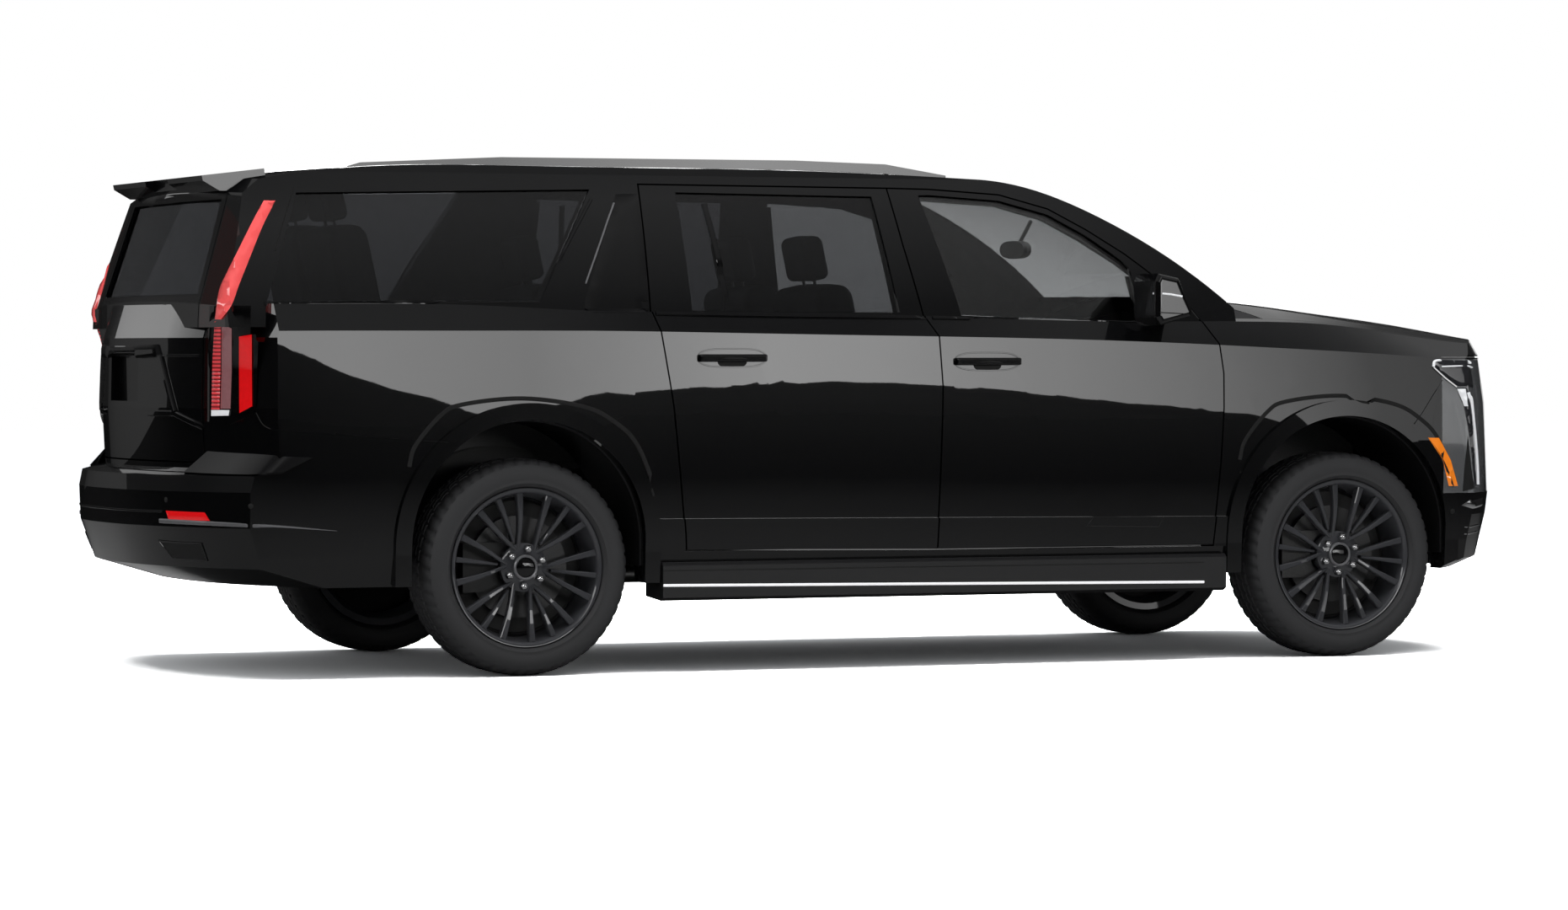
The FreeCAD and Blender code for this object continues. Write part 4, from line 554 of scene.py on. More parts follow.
def dress_front():
    """Upper lamp, upright lamp, dark corner, side marker and the bumper's bright trims."""
    lens = [
        (2.3, -0.999, 1.146), (2.313, -0.997, 1.17), (2.4, -0.975, 1.166), (2.495, -0.944, 1.159),
        (2.512, -0.935, 1.1), (2.509, -0.946, 1.056), (2.404, -0.997, 1.064)]
    lay_patch("headlamp_lens", "smoked_lens", side_skin, lens, 0.004)
    top = [(2.298, -0.999, 1.142), (2.312, -0.997, 1.166), (2.4, -0.975, 1.164), (2.495, -0.944, 1.157)]
    lay_strip("headlamp_top_light", "bright_lens", side_skin, rounded(top), 0.009, 0.008)
    inner = [(2.336, -0.998, 1.143), (2.42, -0.97, 1.144), (2.506, -0.933, 1.138)]
    lay_strip("headlamp_inner_light", "bright_lens", side_skin, inner, 0.006, 0.008)
    lower = [(2.298, -1.0, 1.14), (2.35, -1.0, 1.098), (2.404, -0.997, 1.062)]
    lay_strip("headlamp_lower_edge", "chrome", side_skin, lower, 0.008, 0.006)
    upright = [
        (2.403, -0.997, 1.059), (2.451, -0.994, 1.059), (2.48, -0.984, 0.992), (2.51, -0.96, 0.88),
        (2.524, -0.949, 0.789), (2.536, -0.942, 0.661), (2.499, -0.98, 0.662), (2.482, -0.992, 0.76),
        (2.466, -0.997, 0.858), (2.453, -0.997, 0.925), (2.438, -0.997, 0.985)]
    lay_patch("upright_lamp", "smoked_lens", side_skin, upright, 0.005, 0.3, 0.014)
    head = [(2.408, -0.997, 1.054), (2.446, -0.994, 1.054), (2.456, -0.992, 0.985), (2.44, -0.996, 0.985)]
    lay_patch("upright_lamp_head", "bright_lens", side_skin, head, 0.009, 0.5, 0.014)
    core = [(2.458, -0.991, 1.04), (2.478, -0.984, 0.96), (2.5, -0.97, 0.86), (2.514, -0.958, 0.76),
            (2.518, -0.958, 0.672)]
    lay_strip("upright_lamp_core", "bright_lens", side_skin, rounded(core), 0.011, 0.012)
    dark = [(2.458, -0.997, 0.864), (2.475, -0.994, 0.74), (2.492, -0.985, 0.656), (2.438, -0.992, 0.647),
            (2.444, -0.995, 0.74)]
    lay_patch("lamp_dark_corner", "deep_black", side_skin, dark, 0.002, 1.0, 0.014)
    marker = [(2.262, -1.02, 0.862), (2.322, -1.006, 0.86), (2.378, -1.0, 0.771), (2.414, -0.995, 0.668),
              (2.363, -1.01, 0.668), (2.331, -1.016, 0.775)]
    fender = Skin("front_fenders", "front_bumper", "headlamps")
    lay_patch("side_marker", "amber_lens", fender, marker, 0.006)
    seam = [(2.341, -1.0, 1.089), (2.293, -1.004, 1.026), (2.245, -1.007, 0.959), (2.195, -1.015, 0.9)]
    lay_strip("fender_seam", "deep_black", side_skin, seam, 0.0035, 0.0006)
    blade = [(2.436, -0.99, 0.59), (2.471, -0.985, 0.614), (2.6, -0.866, 0.616), (2.612, -0.85, 0.586)]
    lay_patch("bumper_blade", "chrome", side_skin, blade, 0.008)
    for index, height in enumerate((0.504, 0.476)):
        bar = [(2.45, -0.981, height), (2.53, -0.935, height), (2.6, -0.868, height)]
        lay_strip(f"bumper_bar_{index}", "chrome", side_skin, bar, 0.006, 0.005)
    spot = (2.385, -1.006, 0.567)
    twin("parking_sensor_front", *disc(*side_skin.snap(spot), 0.011, 0.002), "deep_black", "root")


WHEELBASE = 3.407


def dress_side():
    """Pillar and belt trims, seams, arch lines, handles, the moulding's accent and the boards' strips."""
    body = Skin("body_side_right", "fixed_glass", "rear_bumper")
    front_door = Skin("front_door_right", "front_door_glass_right")
    rear_door = Skin("rear_door_right", "rear_door_glass_right")
    applique = on_side([
        (-1.082, 1.793), (-1.18, 1.575), (-1.262, 1.392), (-1.266, 1.362), (-1.24, 1.347), (-1.006, 1.347),
        (-1.0, 1.58), (-0.996, 1.796)], -0.88)
    lay_patch("pillar_panel", "gloss_black", body, applique, 0.003, 0.3, 0.03)
    edge = on_side([(-1.096, 1.796), (-1.19, 1.58), (-1.278, 1.385), (-1.284, 1.36), (-1.262, 1.342)], -0.88)
    lay_strip("pillar_trim", "dull_metal", body, rounded(edge), 0.007, 0.005)
    quarter = on_side([(-1.184, 1.812), (-1.31, 1.6), (-1.424, 1.404), (-1.44, 1.384), (-1.47, 1.38)], -0.88)
    lay_strip("quarter_trim", "gloss_black", body, rounded(quarter), 0.012, 0.004)
    foot = on_side([(-1.44, 1.382), (-1.98, 1.38), (-2.5, 1.376)], -0.93)
    lay_strip("quarter_belt", "gloss_black", body, foot, 0.012, 0.005)
    belt = on_side([(-0.992, 1.34), (-0.7, 1.337), (-0.4, 1.334), (0.118, 1.329)], -0.96)
    lay_strip("rear_door_belt", "gloss_black", rear_door, belt, 0.016, 0.006, body="rear_door_right")
    belt = [(0.14, -0.96, 1.329), (0.5, -0.96, 1.32), (1.02, -0.95, 1.308)]
    lay_strip("front_door_belt", "gloss_black", front_door, belt, 0.016, 0.006, body="front_door_right")
    divider = on_side([(-0.728, 1.801), (-0.68, 1.345)], -0.88)
    lay_strip("rear_glass_divider", "gloss_black", rear_door, divider, 0.022, 0.004, body="rear_door_right")
    line = on_side([(-2.341, 1.842), (-2.42, 1.62), (-2.5, 1.376)], -0.85)
    lay_strip("rear_pillar_seam", "deep_black", body, line, 0.004, 0.0006)
    crease = rounded([(-2.532, -0.928, 0.979), (-2.512, -0.955, 0.935), (-2.47, -0.99, 0.917),
                      (-2.4, -1.005, 0.912), (-2.253, -1.012, 0.905)])
    lay_strip("body_seam", "deep_black", body, crease, 0.0035, 0.0008)
    arch = [(1.43, 0.78), (1.4535, 0.857), (1.5485, 0.966), (1.6335, 1.007), (1.8705, 1.029), (2.1115, 0.997),
            (2.2365, 0.937), (2.3235, 0.851), (2.4025, 0.672)]
    for end, shift in (("front", 0.0), ("rear", -WHEELBASE)):
        edge = rounded([(x + shift, -1.03, z) for x, z in arch])
        lay_strip(end + "_arch_line", "deep_black", side_skin, edge, 0.016, 0.0012)
    for door, skin, low, high, level in (
            ("rear", rear_door, -0.8435, -0.5655, 1.178), ("front", front_door, 0.2095, 0.4835, 1.164)):
        middle, half = (low + high) / 2, (high - low) / 2
        cup = [(middle + half * oblong(t, 0.5), -1.01, level + 0.034 * math.sin(t)) for t in circle(28)]
        lay_strip(door + "_handle_rim", "gloss_black", skin, cup + [cup[0]], 0.005, 0.003, 0.02,
                  body=door + "_door_right")
        # A dark patch inside each handle's cup: painted shade for the recess behind the grip.
        painted_recess_shade = [(middle + (x - middle) * 0.42, y, level - 0.016 + (z - level) * 0.55) for x, y, z in cup]
        lay_patch(door + "_handle_painted_shade", "deep_black", skin, painted_recess_shade, 0.001, 1.0, 0.012,
                  body=door + "_door_right")
    accent = on_side([(0.8, 0.565), (1.1, 0.56), (1.08, 0.522), (0.77, 0.528), (0.8, 0.565)], -1.02)
    lower = Skin("front_door_right")
    lay_strip("moulding_accent", "deep_black", lower, accent, 0.005, 0.0006, body="front_door_right")
    board = Skin("running_boards")
    # The strip glows near-white: a painted highlight on the bright metal trim.
    bright = on_side([(-0.985, 0.33), (0.15, 0.318), (1.27, 0.306)], -1.025)
    lay_strip("board_strip", "bright_trim", board, bright, 0.01, 0.003, 0.06)
    crown = on_side([(-0.985, 0.385), (1.27, 0.382)], -1.025)
    lay_strip("board_groove", "deep_black", board, crown, 0.004, 0.001, 0.1)


def dress_mirrors():
    """The bright strip on each mirror's edge and the dark line below it."""
    shell = Skin("mirror_right")
    low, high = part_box("mirror_right")
    level = low.z + 0.62 * (high.z - low.z)
    band = [(low.x + 0.01, low.y + 0.03, level), (low.x + 0.06, low.y, level - 0.004),
            (low.x + 0.11, low.y, level - 0.012)]
    lay_strip("mirror_strip", "bright_lens", shell, band, 0.007, 0.002, 0.01, body="front_door_right")
    cap = [(low.x + 0.015, low.y, low.z + 0.05), (low.x + 0.12, low.y, low.z + 0.045)]
    lay_strip("mirror_split", "deep_black", shell, cap, 0.004, 0.001, 0.01, body="front_door_right")


def spun(profile, count, shift=None):
    """A closed (radius, y) outline turned about a wheel's axle, with a radial shift per place."""
    corners, faces = [], []
    rows = len(profile)
    for i, turn in enumerate(circle(count)):
        for k, (radius, y) in enumerate(profile):
            far = radius + (shift(i, k) if shift else 0.0)
            corners.append(Vector((far * math.sin(turn), y, far * math.cos(turn))))
    for i in range(count):
        here, ahead = i * rows, (i + 1) % count * rows
        for k in range(rows):
            up = (k + 1) % rows
            faces.append((here + k, here + up, ahead + up, ahead + k))
    return corners, faces


# Steps round a tyre, with one groove across the tread to every BLOCK_STEPS of them.
TREAD_STEPS = 312
BLOCK_STEPS = 6


def tyre_profile():
    """Half a tyre's section from tread middle to bead, then the other half."""
    half = [
        (0.403, 0.0), (0.403, 0.014), (0.3955, 0.016), (0.3955, 0.022), (0.4028, 0.024), (0.4026, 0.05),
        (0.3955, 0.052), (0.3955, 0.058), (0.4022, 0.06), (0.4012, 0.084), (0.3995, 0.094), (0.395, 0.106),
        (0.389, 0.116), (0.383, 0.1225), (0.379, 0.1265), (0.37, 0.1318), (0.356, 0.136), (0.342, 0.1375),
        (0.328, 0.1362), (0.318, 0.134), (0.3165, 0.1345), (0.312, 0.1345), (0.3105, 0.132), (0.303, 0.127),
        (0.2985, 0.117), (0.295, 0.1078), (0.2813, 0.1077),
    ]
    other = [(r, -y) for r, y in half[1:]][::-1]
    return half + other


# The rims: 18 spokes in six groups of three, turned as in the photograph.
WHEEL_TURN = 23
GROUP_STEP = 60
SIDE_START, MIDDLE_START, SPOKE_END = 0.066, 0.105, 0.276
SPOKE_FAN = math.radians(18.0)
SPOKE_BEVEL, SPOKE_DEPTH = 0.0035, 0.03
STATIONS = 14


def spoke(start, middle, offset):
    """One spoke of a wheel: from the hub out to the rim, curving away from its group's middle."""
    corners = []
    for i in range(STATIONS + 1):
        s = i / STATIONS
        radius = start + (SPOKE_END - start) * s
        turn = middle + SPOKE_FAN * offset * (1 - math.exp(-(radius - 0.06) / 0.048))
        half = (0.0066 + 0.006 * s ** 1.6) * (0.85 if offset == 0 else 1.0)
        face = -0.088 - 0.024 * s ** 1.5 - 0.01 * math.sin(math.pi * s)
        flat, edge, back = half - SPOKE_BEVEL, face + SPOKE_BEVEL, face + SPOKE_DEPTH
        outline = ((-half, back), (-half, edge), (-flat, face), (flat, face), (half, edge), (half, back))
        out = Vector((math.cos(turn), 0, math.sin(turn)))
        side = Vector((-out.z, 0, out.x))
        corners += [out * radius + side * across + Vector((0, depth, 0)) for across, depth in outline]
    return corners, closed_rings(STATIONS + 1, len(outline), True)


# Closed (radius, y) outlines of the rim's barrel and hub, the brake disc, its shield and the cap's ring.
BARREL = (
    (0.2955, -0.1185), (0.2935, -0.1205), (0.287, -0.12), (0.281, -0.1165), (0.277, -0.11), (0.2745, -0.098),
    (0.264, -0.07), (0.257, -0.02), (0.2565, 0.02), (0.244, 0.032), (0.244, 0.08), (0.269, 0.118),
    (0.295, 0.119), (0.2955, 0.11), (0.282, 0.106), (0.2745, 0.09), (0.269, 0.03), (0.269, -0.02),
    (0.276, -0.07), (0.285, -0.104), (0.2955, -0.108))
HUB = (
    (0.0, -0.095), (0.04, -0.095), (0.044, -0.094), (0.058, -0.09), (0.086, -0.087), (0.091, -0.083),
    (0.0915, -0.06), (0.08, -0.015), (0.0, -0.015))
DISC = ((0.07, -0.015), (0.19, -0.015), (0.19, 0.015), (0.07, 0.015))
SHIELD = ((0.05, 0.019), (0.245, 0.019), (0.25, 0.012), (0.252, 0.012), (0.247, 0.021), (0.05, 0.021))
CAP_RING = ((0.047, 0.0), (0.047, 0.01), (0.043, 0.013), (0.038, 0.011), (0.038, 0.0))

# The cap's and the nuts' places, and the walls inside the rear wheelhouses.
CAP_RADIUS = 0.038
HUB_FACE = 0.095
NUT_CIRCLE = 0.06985
NUT_REACH = 0.012
WALL_RADIUS, WALL_INSET, WALL_THICKNESS = 0.445, 0.262, 0.003
WALL_STEPS = 24


def on_axle(corners, hub, out):
    """Corners drawn about the axle, moved to a hub, with y along out."""
    return [Vector((c.x + hub.x, hub.y + out * c.y, c.z + hub.z)) for c in corners]


def turned(name, profile, count, hub, out, shade, body):
    """A piece turned about a wheel's axle."""
    corners, faces = spun(profile, count)
    piece(name, on_axle(corners, hub, out), faces, shade, body)


def dress_rim(end, side, hub, out, body):
    """One wheel: hub, three spokes to each of six groups, barrel and brake disc."""
    forms = []
    for group in range(6):
        middle = math.radians(WHEEL_TURN + GROUP_STEP / 2 + GROUP_STEP * group)
        forms += [spoke(SIDE_START if offset else MIDDLE_START, middle, offset) for offset in (-1, 0, 1)]
    corners, faces = [], []
    for more_corners, more_faces in forms + [spun(BARREL, 128), spun(HUB, 64)]:
        start = len(corners)
        corners += more_corners
        faces += [tuple(i + start for i in face) for face in more_faces]
    rim = piece(f"{end}_alloy_{side}", on_axle(corners, hub, -out), faces, "wheel_black", body)
    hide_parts("%s_rim_%s" % (end, side))
    turned(f"{end}_brake_disc_{side}", DISC, 96, hub, -out, "brake_iron", body)


def treaded_tyre():
    """A tyre about its own middle, with grooves across its tread and shoulders."""
    profile = tyre_profile()
    tread = {k for k, (radius, y) in enumerate(profile) if radius > 0.4}
    shoulder = {k for k, (radius, y) in enumerate(profile) if 0.382 < radius <= 0.4 and abs(y) > 0.09}

    def groove(i, k):
        step = (i + round(abs(profile[k][1]) * 60)) % BLOCK_STEPS
        if k in tread and step == 0:
            return -0.0055
        return -0.0045 if k in shoulder and step < 2 else 0.0

    return spun(profile, TREAD_STEPS, groove)


def dress_cap(end, side, hub, out, body):
    """The centre cap in its ring."""
    face = Vector((hub.x, hub.y + out * HUB_FACE, hub.z))
    turned(f"{end}_cap_ring_{side}", CAP_RING, 64, face, out, "dull_metal", body)
    piece(f"{end}_cap_{side}", *disc(face, Vector((0, out, 0)), CAP_RADIUS, 0.006, 48), "gloss_black", body)


def dress_nuts(end, side, hub, out, body):
    """Six nuts between the groups of spokes."""
    for i in range(6):
        turn = math.radians(WHEEL_TURN + i * GROUP_STEP)
        across, up = NUT_CIRCLE * math.cos(turn), NUT_CIRCLE * math.sin(turn)
        middle = hub + Vector((across, out * (HUB_FACE + NUT_REACH), up))
        piece(f"{end}_nut_{side}_{i}", *nut(middle, Vector((0, out, 0))), "chrome", body)


def dress_wheels():
    """All four wheels, the shields inside them and the walls of the rear wheelhouses."""
    tyre_corners, tyre_faces = treaded_tyre()
    arc = [math.pi * (0.1 + 0.8 * i / WALL_STEPS) for i in range(WALL_STEPS + 1)]
    for name in frame["bodies"]:
        if "_wheel_" not in name:
            continue
        end, side = name.split("_wheel_")
        low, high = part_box("%s_tyre_%s" % (end, side))
        hub = (low + high) / 2
        out = -1 if side == "right" else 1
        tyre = piece(f"{end}_tread_{side}", [c + hub for c in tyre_corners], tyre_faces, "tyre", name)
        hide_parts("%s_tyre_%s" % (end, side))
        dress_rim(end, side, hub, out, name)
        dress_cap(end, side, hub, out, name)
        carrier = "knuckle_" + side if end == "front" else "root"
        turned(f"{end}_shield_{side}", SHIELD, 64, hub, -out, "deep_black", carrier)
        if end == "rear":
            inner = hub.y - out * WALL_INSET
            wall = [(hub.x + WALL_RADIUS * math.cos(t), y, hub.z + WALL_RADIUS * math.sin(t))
                    for y in (inner, inner + WALL_THICKNESS) for t in arc]
            piece("wheelhouse_wall_" + side, wall, closed_rings(2, len(arc)), "deep_black", "root", False)
        dress_nuts(end, side, hub, out, name)


def nut(middle, normal):
    """A six-sided nut with a domed end."""
    side, up = Vector((1, 0, 0)), Vector((0, 0, 1))
    corners = []
    levels = ((-0.018, 0.0155), (0.004, 0.0155), (0.01, 0.0125), (0.013, 0.007), (0.014, 0.001))
    for height, radius in levels:
        for turn in circle(24):
            flat = math.cos(math.pi / 6) / math.cos((turn % (math.pi / 3)) - math.pi / 6)
            away = (side * math.cos(turn) + up * math.sin(turn)) * radius * flat
            corners.append(middle + normal * height + away)
    return corners, closed_rings(len(levels), 24)


# A seat's leather pieces: their grid, and how they are rounded and sewn.
PILLOW_STEPS = 22
EDGE_SHARE = 0.62
CHANNELS = (-0.6, 0.6)
CHANNEL_DEPTH, CHANNEL_WIDTH = 0.55, 0.035
RIBS = (-0.45, 0.0, 0.45)
RIB_DEPTH, RIB_WIDTH, RIB_REACH = 0.3, 0.03, 0.55


def pillow(name, middle, size, lean, crown, channels=()):
    """One stuffed leather piece: a rounded crowned form, pulled in along its sewn channels."""
    half = Vector(size) / 2
    radius = min(half) * EDGE_SHARE
    corners, faces, grid = [], [], {}
    turn = Matrix.Rotation(lean, 3, "Y")

    def corner(u, v, w):
        key = (round(u, 4), round(v, 4), round(w, 4))
        if key in grid:
            return grid[key]
        spot = Vector((u * half.x, v * half.y, w * half.z))
        core = Vector([max(-h + radius, min(h - radius, s)) for h, s in zip(half, spot)])
        away = spot - core
        if away.length > radius:
            spot = core + away.normalized() * radius
        swell = (1 - u ** 4) * (1 - v ** 4) * crown
        for place in channels:
            swell -= CHANNEL_DEPTH * crown * math.exp(-((v - place) / CHANNEL_WIDTH) ** 2)
        for rib in RIBS:
            swell -= RIB_DEPTH * crown * math.exp(-((u - rib) / RIB_WIDTH) ** 2) * (abs(v) < RIB_REACH)
        if w > 0:
            spot.z += swell * w
        grid[key] = len(corners)
        corners.append(turn @ spot + Vector(middle))
        return grid[key]

    ticks = [2 * i / PILLOW_STEPS - 1 for i in range(PILLOW_STEPS + 1)]
    cells = [(i, k) for i in range(PILLOW_STEPS) for k in range(PILLOW_STEPS)]
    for axis in range(3):
        for end in (-1, 1):
            for i, k in cells:
                ring = []
                for a, b in ((i, k), (i + 1, k), (i + 1, k + 1), (i, k + 1)):
                    place = [ticks[a], ticks[b]]
                    place.insert(axis, end)
                    ring.append(corner(*place))
                faces.append(tuple(ring))
    made = piece(name, corners, faces, "seat_leather", "root")
    return made


# Each row: its name, its cushions' x, the floor under it, and its seats' width and place across.
ROWS = (("front", 0.348, 0.575, 0.52, 0.374), ("second", -0.5545, 0.575, 0.52, 0.374),
        ("third", -1.563, 0.788, 0.47, 0.245))
RAKE = math.radians(-12)


def dress_seats():
    """Leather seats, two to a row, each on a plinth and with a headrest on two posts."""
    lean = Vector((math.sin(RAKE), 0, math.cos(RAKE)))
    for row, x, floor, width, offset in ROWS:
        for side, word in ((-1, "right"), (1, "left")):
            y = side * offset
            base = f"{row}_{word}"
            foot = Vector((x - 0.34, y, floor + 0.26))
            pillow(
                "seat_cushion_" + base, (x, y, floor + 0.27), (0.56, width, 0.165), 0.0, 0.022, CHANNELS)
            pillow("seat_back_" + base, foot + lean * 0.3, (0.15, width, 0.64), RAKE, 0.012, CHANNELS)
            pillow("seat_head_" + base, foot + lean * 0.735, (0.09, 0.25, 0.165), RAKE, 0.006)
            for end in (-1, 1):
                aside = Vector((0, end * 0.055, 0))
                post = rod(foot + lean * 0.56 + aside, foot + lean * 0.7 + aside, 0.006)
                piece(f"seat_post_{base}_{end}", *post, "steel", "root")
            plinth = [
                (x + i * 0.2, y + k * (width / 2 - 0.14), floor + h)
                for h in (0.002, 0.23) for i, k in ((-1, -1), (1, -1), (1, 1), (-1, 1))]
            piece("seat_base_" + base, plinth, closed_rings(2, 4), "black_plastic", "root", False)
    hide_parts("seats")


def rod(low, high, radius, count=12):
    """A round rod between two places."""
    aim = (high - low).normalized()
    side = aim.orthogonal().normalized()
    up = aim.cross(side)
    corners = [end + (side * math.cos(turn) + up * math.sin(turn)) * radius
               for end in (low, high) for turn in circle(count)]
    return corners, closed_rings(2, count)


MIRROR_PLACE = Vector((0.93, 0.0, 1.6))
MIRROR_HALF_WIDTH, MIRROR_HALF_HEIGHT = 0.125, 0.036


def dress_cabin():
    """The inside mirror on its stalk, under the windscreen."""
    corners = []
    for x, grow in ((-0.012, 0.92), (0.0, 1.0), (0.02, 0.96)):
        for turn in circle(28):
            across = oblong(turn, 0.6) * MIRROR_HALF_WIDTH * grow
            corners.append(MIRROR_PLACE + Vector((x, across, math.sin(turn) * MIRROR_HALF_HEIGHT * grow)))
    piece("inside_mirror", corners, closed_rings(3, 28), "black_plastic", "root")
    stalk = rod(MIRROR_PLACE + Vector((0.02, 0, 0.02)), MIRROR_PLACE + Vector((0.075, 0, 0.115)), 0.008)
    piece("inside_mirror_stalk", *stalk, "black_plastic", "root")


dress_tail_lamps()
dress_rear()
dress_front()
dress_side()
dress_mirrors()
dress_wheels()
dress_seats()
dress_cabin()

# The camera, from the photograph: place, where it points, and its lens.
CAMERA_PLACE = Vector((-8.0585, -19.322, 1.193))
CAMERA_YAW = math.radians(22.45)
CAMERA_PITCH = math.radians(-1.1)
SENSOR = 36.0
PHOTO_WIDTH = 1861
FOCAL_PIXELS = 6248.7


def stand(made, place, aim):
    """Puts a camera or a lamp at a place, facing along an aim."""
    made.location = place
    made.rotation_mode = "QUATERNION"
    made.rotation_quaternion = aim.to_track_quat("-Z", "Y")


def make_camera():
    """The photograph's camera."""
    data = bpy.data.cameras.new("camera")
    data.sensor_width = SENSOR
    data.lens = SENSOR * FOCAL_PIXELS / PHOTO_WIDTH
    data.clip_end = 200.0
    camera = add_object("camera", data)
    level = math.cos(CAMERA_PITCH)
    aim = Vector((math.sin(CAMERA_YAW) * level, math.cos(CAMERA_YAW) * level, math.sin(CAMERA_PITCH)))
    stand(camera, CAMERA_PLACE, aim)
    bpy.context.scene.camera = camera


LAMP_PLACE = Vector((0.0, -1.0, 9.0))
LAMP_WIDTH, LAMP_HEIGHT = 14.0, 8.0
LAMP_POWER = 1500.0


def make_lamp():
    """One large soft lamp overhead, aimed at the origin, which gloss doesn't mirror."""
    data = bpy.data.lights.new("overhead", "AREA")
    data.shape = "RECTANGLE"
    data.size = LAMP_WIDTH
    data.size_y = LAMP_HEIGHT
    data.energy = LAMP_POWER
    lamp = add_object("overhead", data)
    stand(lamp, LAMP_PLACE, -LAMP_PLACE)
    lamp.visible_glossy = False


def grey_ramp(tree, value, levels):
    """A grey that passes through given levels along a 0 to 1 value."""
    ramp = add_node(tree, "ValToRGB", {}, {"Fac": value})
    stops = ramp.color_ramp.elements
    for i, (spot, grey) in enumerate(levels):
        stop = stops[0] if i == 0 else stops[len(stops) - 1] if i == len(levels) - 1 else stops.new(spot)
        stop.position = spot
        stop.color = (grey, grey, grey, 1.0)
    return ramp.outputs["Color"]


def empty_material(name):
    """A material whose tree has no nodes yet."""
    made = bpy.data.materials.new(name)
    made.use_nodes = True
    made.node_tree.nodes.clear()
    return made


def panel(name, outline, levels):
    """A glowing studio panel that only reflections see, its strength given at stations along X."""
    mesh = bpy.data.meshes.new(name)
    mesh.from_pydata(outline, [], [tuple(range(len(outline)))])
    made = add_object(name, mesh)
    made.visible_camera = made.visible_diffuse = False
    made.visible_transmission = made.visible_shadow = False
    shade = empty_material(name)
    tree = shade.node_tree
    low, high, peak = levels[0][0], levels[-1][0], max(level for x, level in levels)
    place = add_node(tree, "TexCoord")
    split = add_node(tree, "SeparateXYZ", {}, {"Vector": place.outputs["Object"]})
    span = add_node(tree, "MapRange", {"From Min": low, "From Max": high}, {"Value": split.outputs["X"]})
    stops = [((x - low) / (high - low), level / peak) for x, level in levels]
    color = grey_ramp(tree, span.outputs["Result"], stops)
    glow = add_node(tree, "Emission", {"Strength": peak}, {"Color": color})
    add_node(tree, "OutputMaterial", {}, {"Surface": glow.outputs["Emission"]})
    mesh.materials.append(shade)


SOFT_COLOR = (0.82, 0.84, 0.86, 1.0)
SOFT_STRENGTH = 0.3
# What gloss mirrors of the studio, by the sine of the height above the horizon.
SKY_LEVELS = (
    (0.0, 0.012), (0.12, 0.015), (0.28, 0.045), (0.5, 0.12), (0.72, 0.42), (0.88, 0.12), (1.0, 0.12))


def make_world():
    """White behind the car, a dim studio for what the car mirrors, and soft light from all round."""
    world = bpy.data.worlds.new("studio")
    world.use_nodes = True
    bpy.context.scene.world = world
    tree = world.node_tree
    soft = next(n for n in tree.nodes if n.type == "BACKGROUND")
    soft.inputs["Color"].default_value = SOFT_COLOR
    soft.inputs["Strength"].default_value = SOFT_STRENGTH
    aim = add_node(tree, "TexCoord")
    split = add_node(tree, "SeparateXYZ", {}, {"Vector": aim.outputs["Generated"]})
    dim = add_node(tree, "Background", {}, {"Color": grey_ramp(tree, split.outputs["Z"], SKY_LEVELS)})
    white = add_node(tree, "Background", {"Color": (1.0, 1.0, 1.0, 1.0)})
    path = add_node(tree, "LightPath").outputs
    seen = add_node(tree, "Math", {}, {0: path["Is Camera Ray"], 1: path["Is Transmission Ray"]}, "MAXIMUM")
    inner = add_node(tree, "MixShader", {}, {
        "Fac": path["Is Glossy Ray"], 1: soft.outputs["Background"], 2: dim.outputs["Background"]})
    outer = add_node(tree, "MixShader", {}, {
        "Fac": seen.outputs["Value"], 1: inner.outputs["Shader"], 2: white.outputs["Background"]})
    out = next(n for n in tree.nodes if n.type == "OUTPUT_WORLD")
    tree.links.new(outer.outputs["Shader"], out.inputs["Surface"])


FLOOR_REACH = 60.0
# The floor's grey as it lights the car, as gloss mirrors it near and far, and what the camera sees more.
FLOOR_GREY = 0.5
MIRRORED_NEAR = {"From Min": 3.5, "From Max": 8.0, "To Min": 0.2, "To Max": 0.012}
SEEN_MORE = 3.6


def make_floor():
    """A plain pale floor that the camera sees as white but for the car's soft shadow."""
    mesh = bpy.data.meshes.new("floor")
    corners = [(x * FLOOR_REACH, y * FLOOR_REACH, 0) for x, y in ((-1, -1), (1, -1), (1, 1), (-1, 1))]
    mesh.from_pydata(corners, [], [(0, 1, 2, 3)])
    floor = add_object("studio_floor", mesh)
    made = empty_material("pale_floor")
    tree = made.node_tree
    place = add_node(tree, "TexCoord")
    away = add_node(tree, "VectorMath", {}, {0: place.outputs["Object"]}, "LENGTH")
    near = add_node(tree, "MapRange", MIRRORED_NEAR, {"Value": away.outputs["Value"]})
    path = add_node(tree, "LightPath").outputs
    grey = add_node(tree, "MapRange", {"To Min": FLOOR_GREY}, {
        "To Max": near.outputs["Result"], "Value": path["Is Glossy Ray"]})
    seen = add_node(
        tree, "Math", {1: SEEN_MORE}, {0: path["Is Camera Ray"], 2: grey.outputs["Result"]}, "MULTIPLY_ADD")
    matt = add_node(tree, "BsdfDiffuse", {}, {"Color": seen.outputs["Value"]})
    add_node(tree, "OutputMaterial", {}, {"Surface": matt.outputs["BSDF"]})
    mesh.materials.append(made)


make_camera()
make_world()
make_floor()
make_lamp()

# How far from the car's middle the panels stand on the photographed side and on the far one.
NEAR_PANELS = 15.0
FAR_PANELS = 10.0
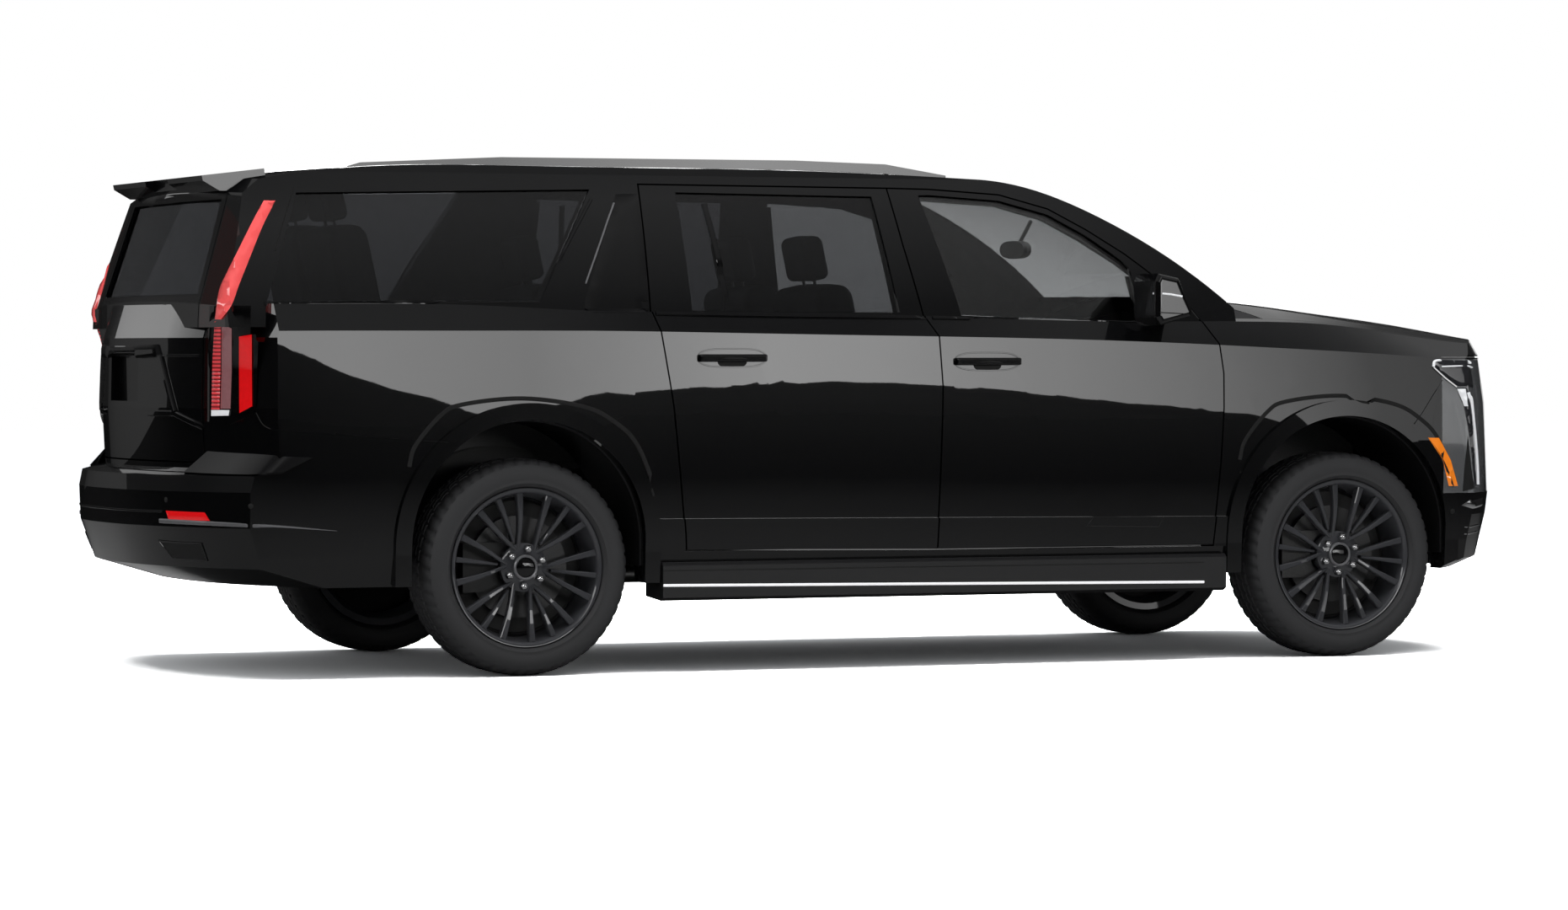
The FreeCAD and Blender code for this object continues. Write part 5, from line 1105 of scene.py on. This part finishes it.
# What a flank mirrors: a long panel, as (x, z), whose lower edge draws the line along the doors.
BAND = (
    (0.9, 3.4), (1.0, 2.6), (2.4, 1.38), (2.75, 1.1), (2.95, 0.98), (3.15, 1.02), (3.41, 1.18), (4.0, 1.25),
    (4.5, 1.35), (5.04, 1.45), (5.74, 1.52), (6.37, 1.5), (6.94, 1.4), (7.55, 1.22), (8.57, 0.9), (9.45, 0.7),
    (9.6, 0.2), (16.0, 0.2), (16.0, 3.4))
BAND_LEVELS = (
    (0.9, 5.2), (2.0, 5.1), (3.5, 4.2), (5.2, 6.5), (6.0, 6.0), (7.2, 4.7), (9.2, 2.5), (10.5, 1.3),
    (16.0, 0.8))
panel("flank_panel_right", on_side(BAND, -NEAR_PANELS), BAND_LEVELS)
panel("flank_panel_left", on_side(BAND, NEAR_PANELS), BAND_LEVELS)
# What the tailgate's slanted upper part mirrors, as (x, z), and what its upright part does.
GATE = ((-4.2, 2.2), (-4.2, 2.7), (-5.1, 2.95), (-10.5, 4.75), (-17.5, 7.2), (-22.0, 8.4), (-22.0, 6.0),
        (-10.5, 4.0), (-6.0, 2.8))
panel("gate_panel", on_side(GATE, FAR_PANELS), ((-22.0, 0.9), (-10.5, 2.0), (-4.2, 0.6)))
panel("back_panel", on_side([(-12.0, 0.3), (-3.4, 0.3), (-3.4, 2.1), (-12.0, 2.4)], FAR_PANELS),
      ((-12.0, 0.25), (-7.0, 0.12), (-3.4, 0.03)))
# A glimmer along the hood, and the light that the roof's corner and the tailgate's edge catch.
panel("hood_panel", [(4.0, 10.0, 3.4), (14.0, 10.0, 3.4), (14.0, 8.0, 8.0), (4.0, 10.0, 8.0)],
      ((4.0, 0.12), (7.6, 0.31), (8.6, 0.05), (14.0, 0.01)))
panel("corner_panel", on_side([(-4.0, 5.8), (-16.0, 5.8), (-16.0, 10.0), (-4.0, 8.8)], -NEAR_PANELS),
      ((-16.0, 4.5), (-4.0, 4.5)))
panel("tail_panel", [(-16.0, -15.0, 5.6), (-16.0, 4.0, 4.8), (-16.0, 4.0, 7.0), (-16.0, -15.0, 10.0)],
      ((-17.0, 4.0), (-15.0, 4.0)))

bpy.context.scene.view_settings.view_transform = "Standard"
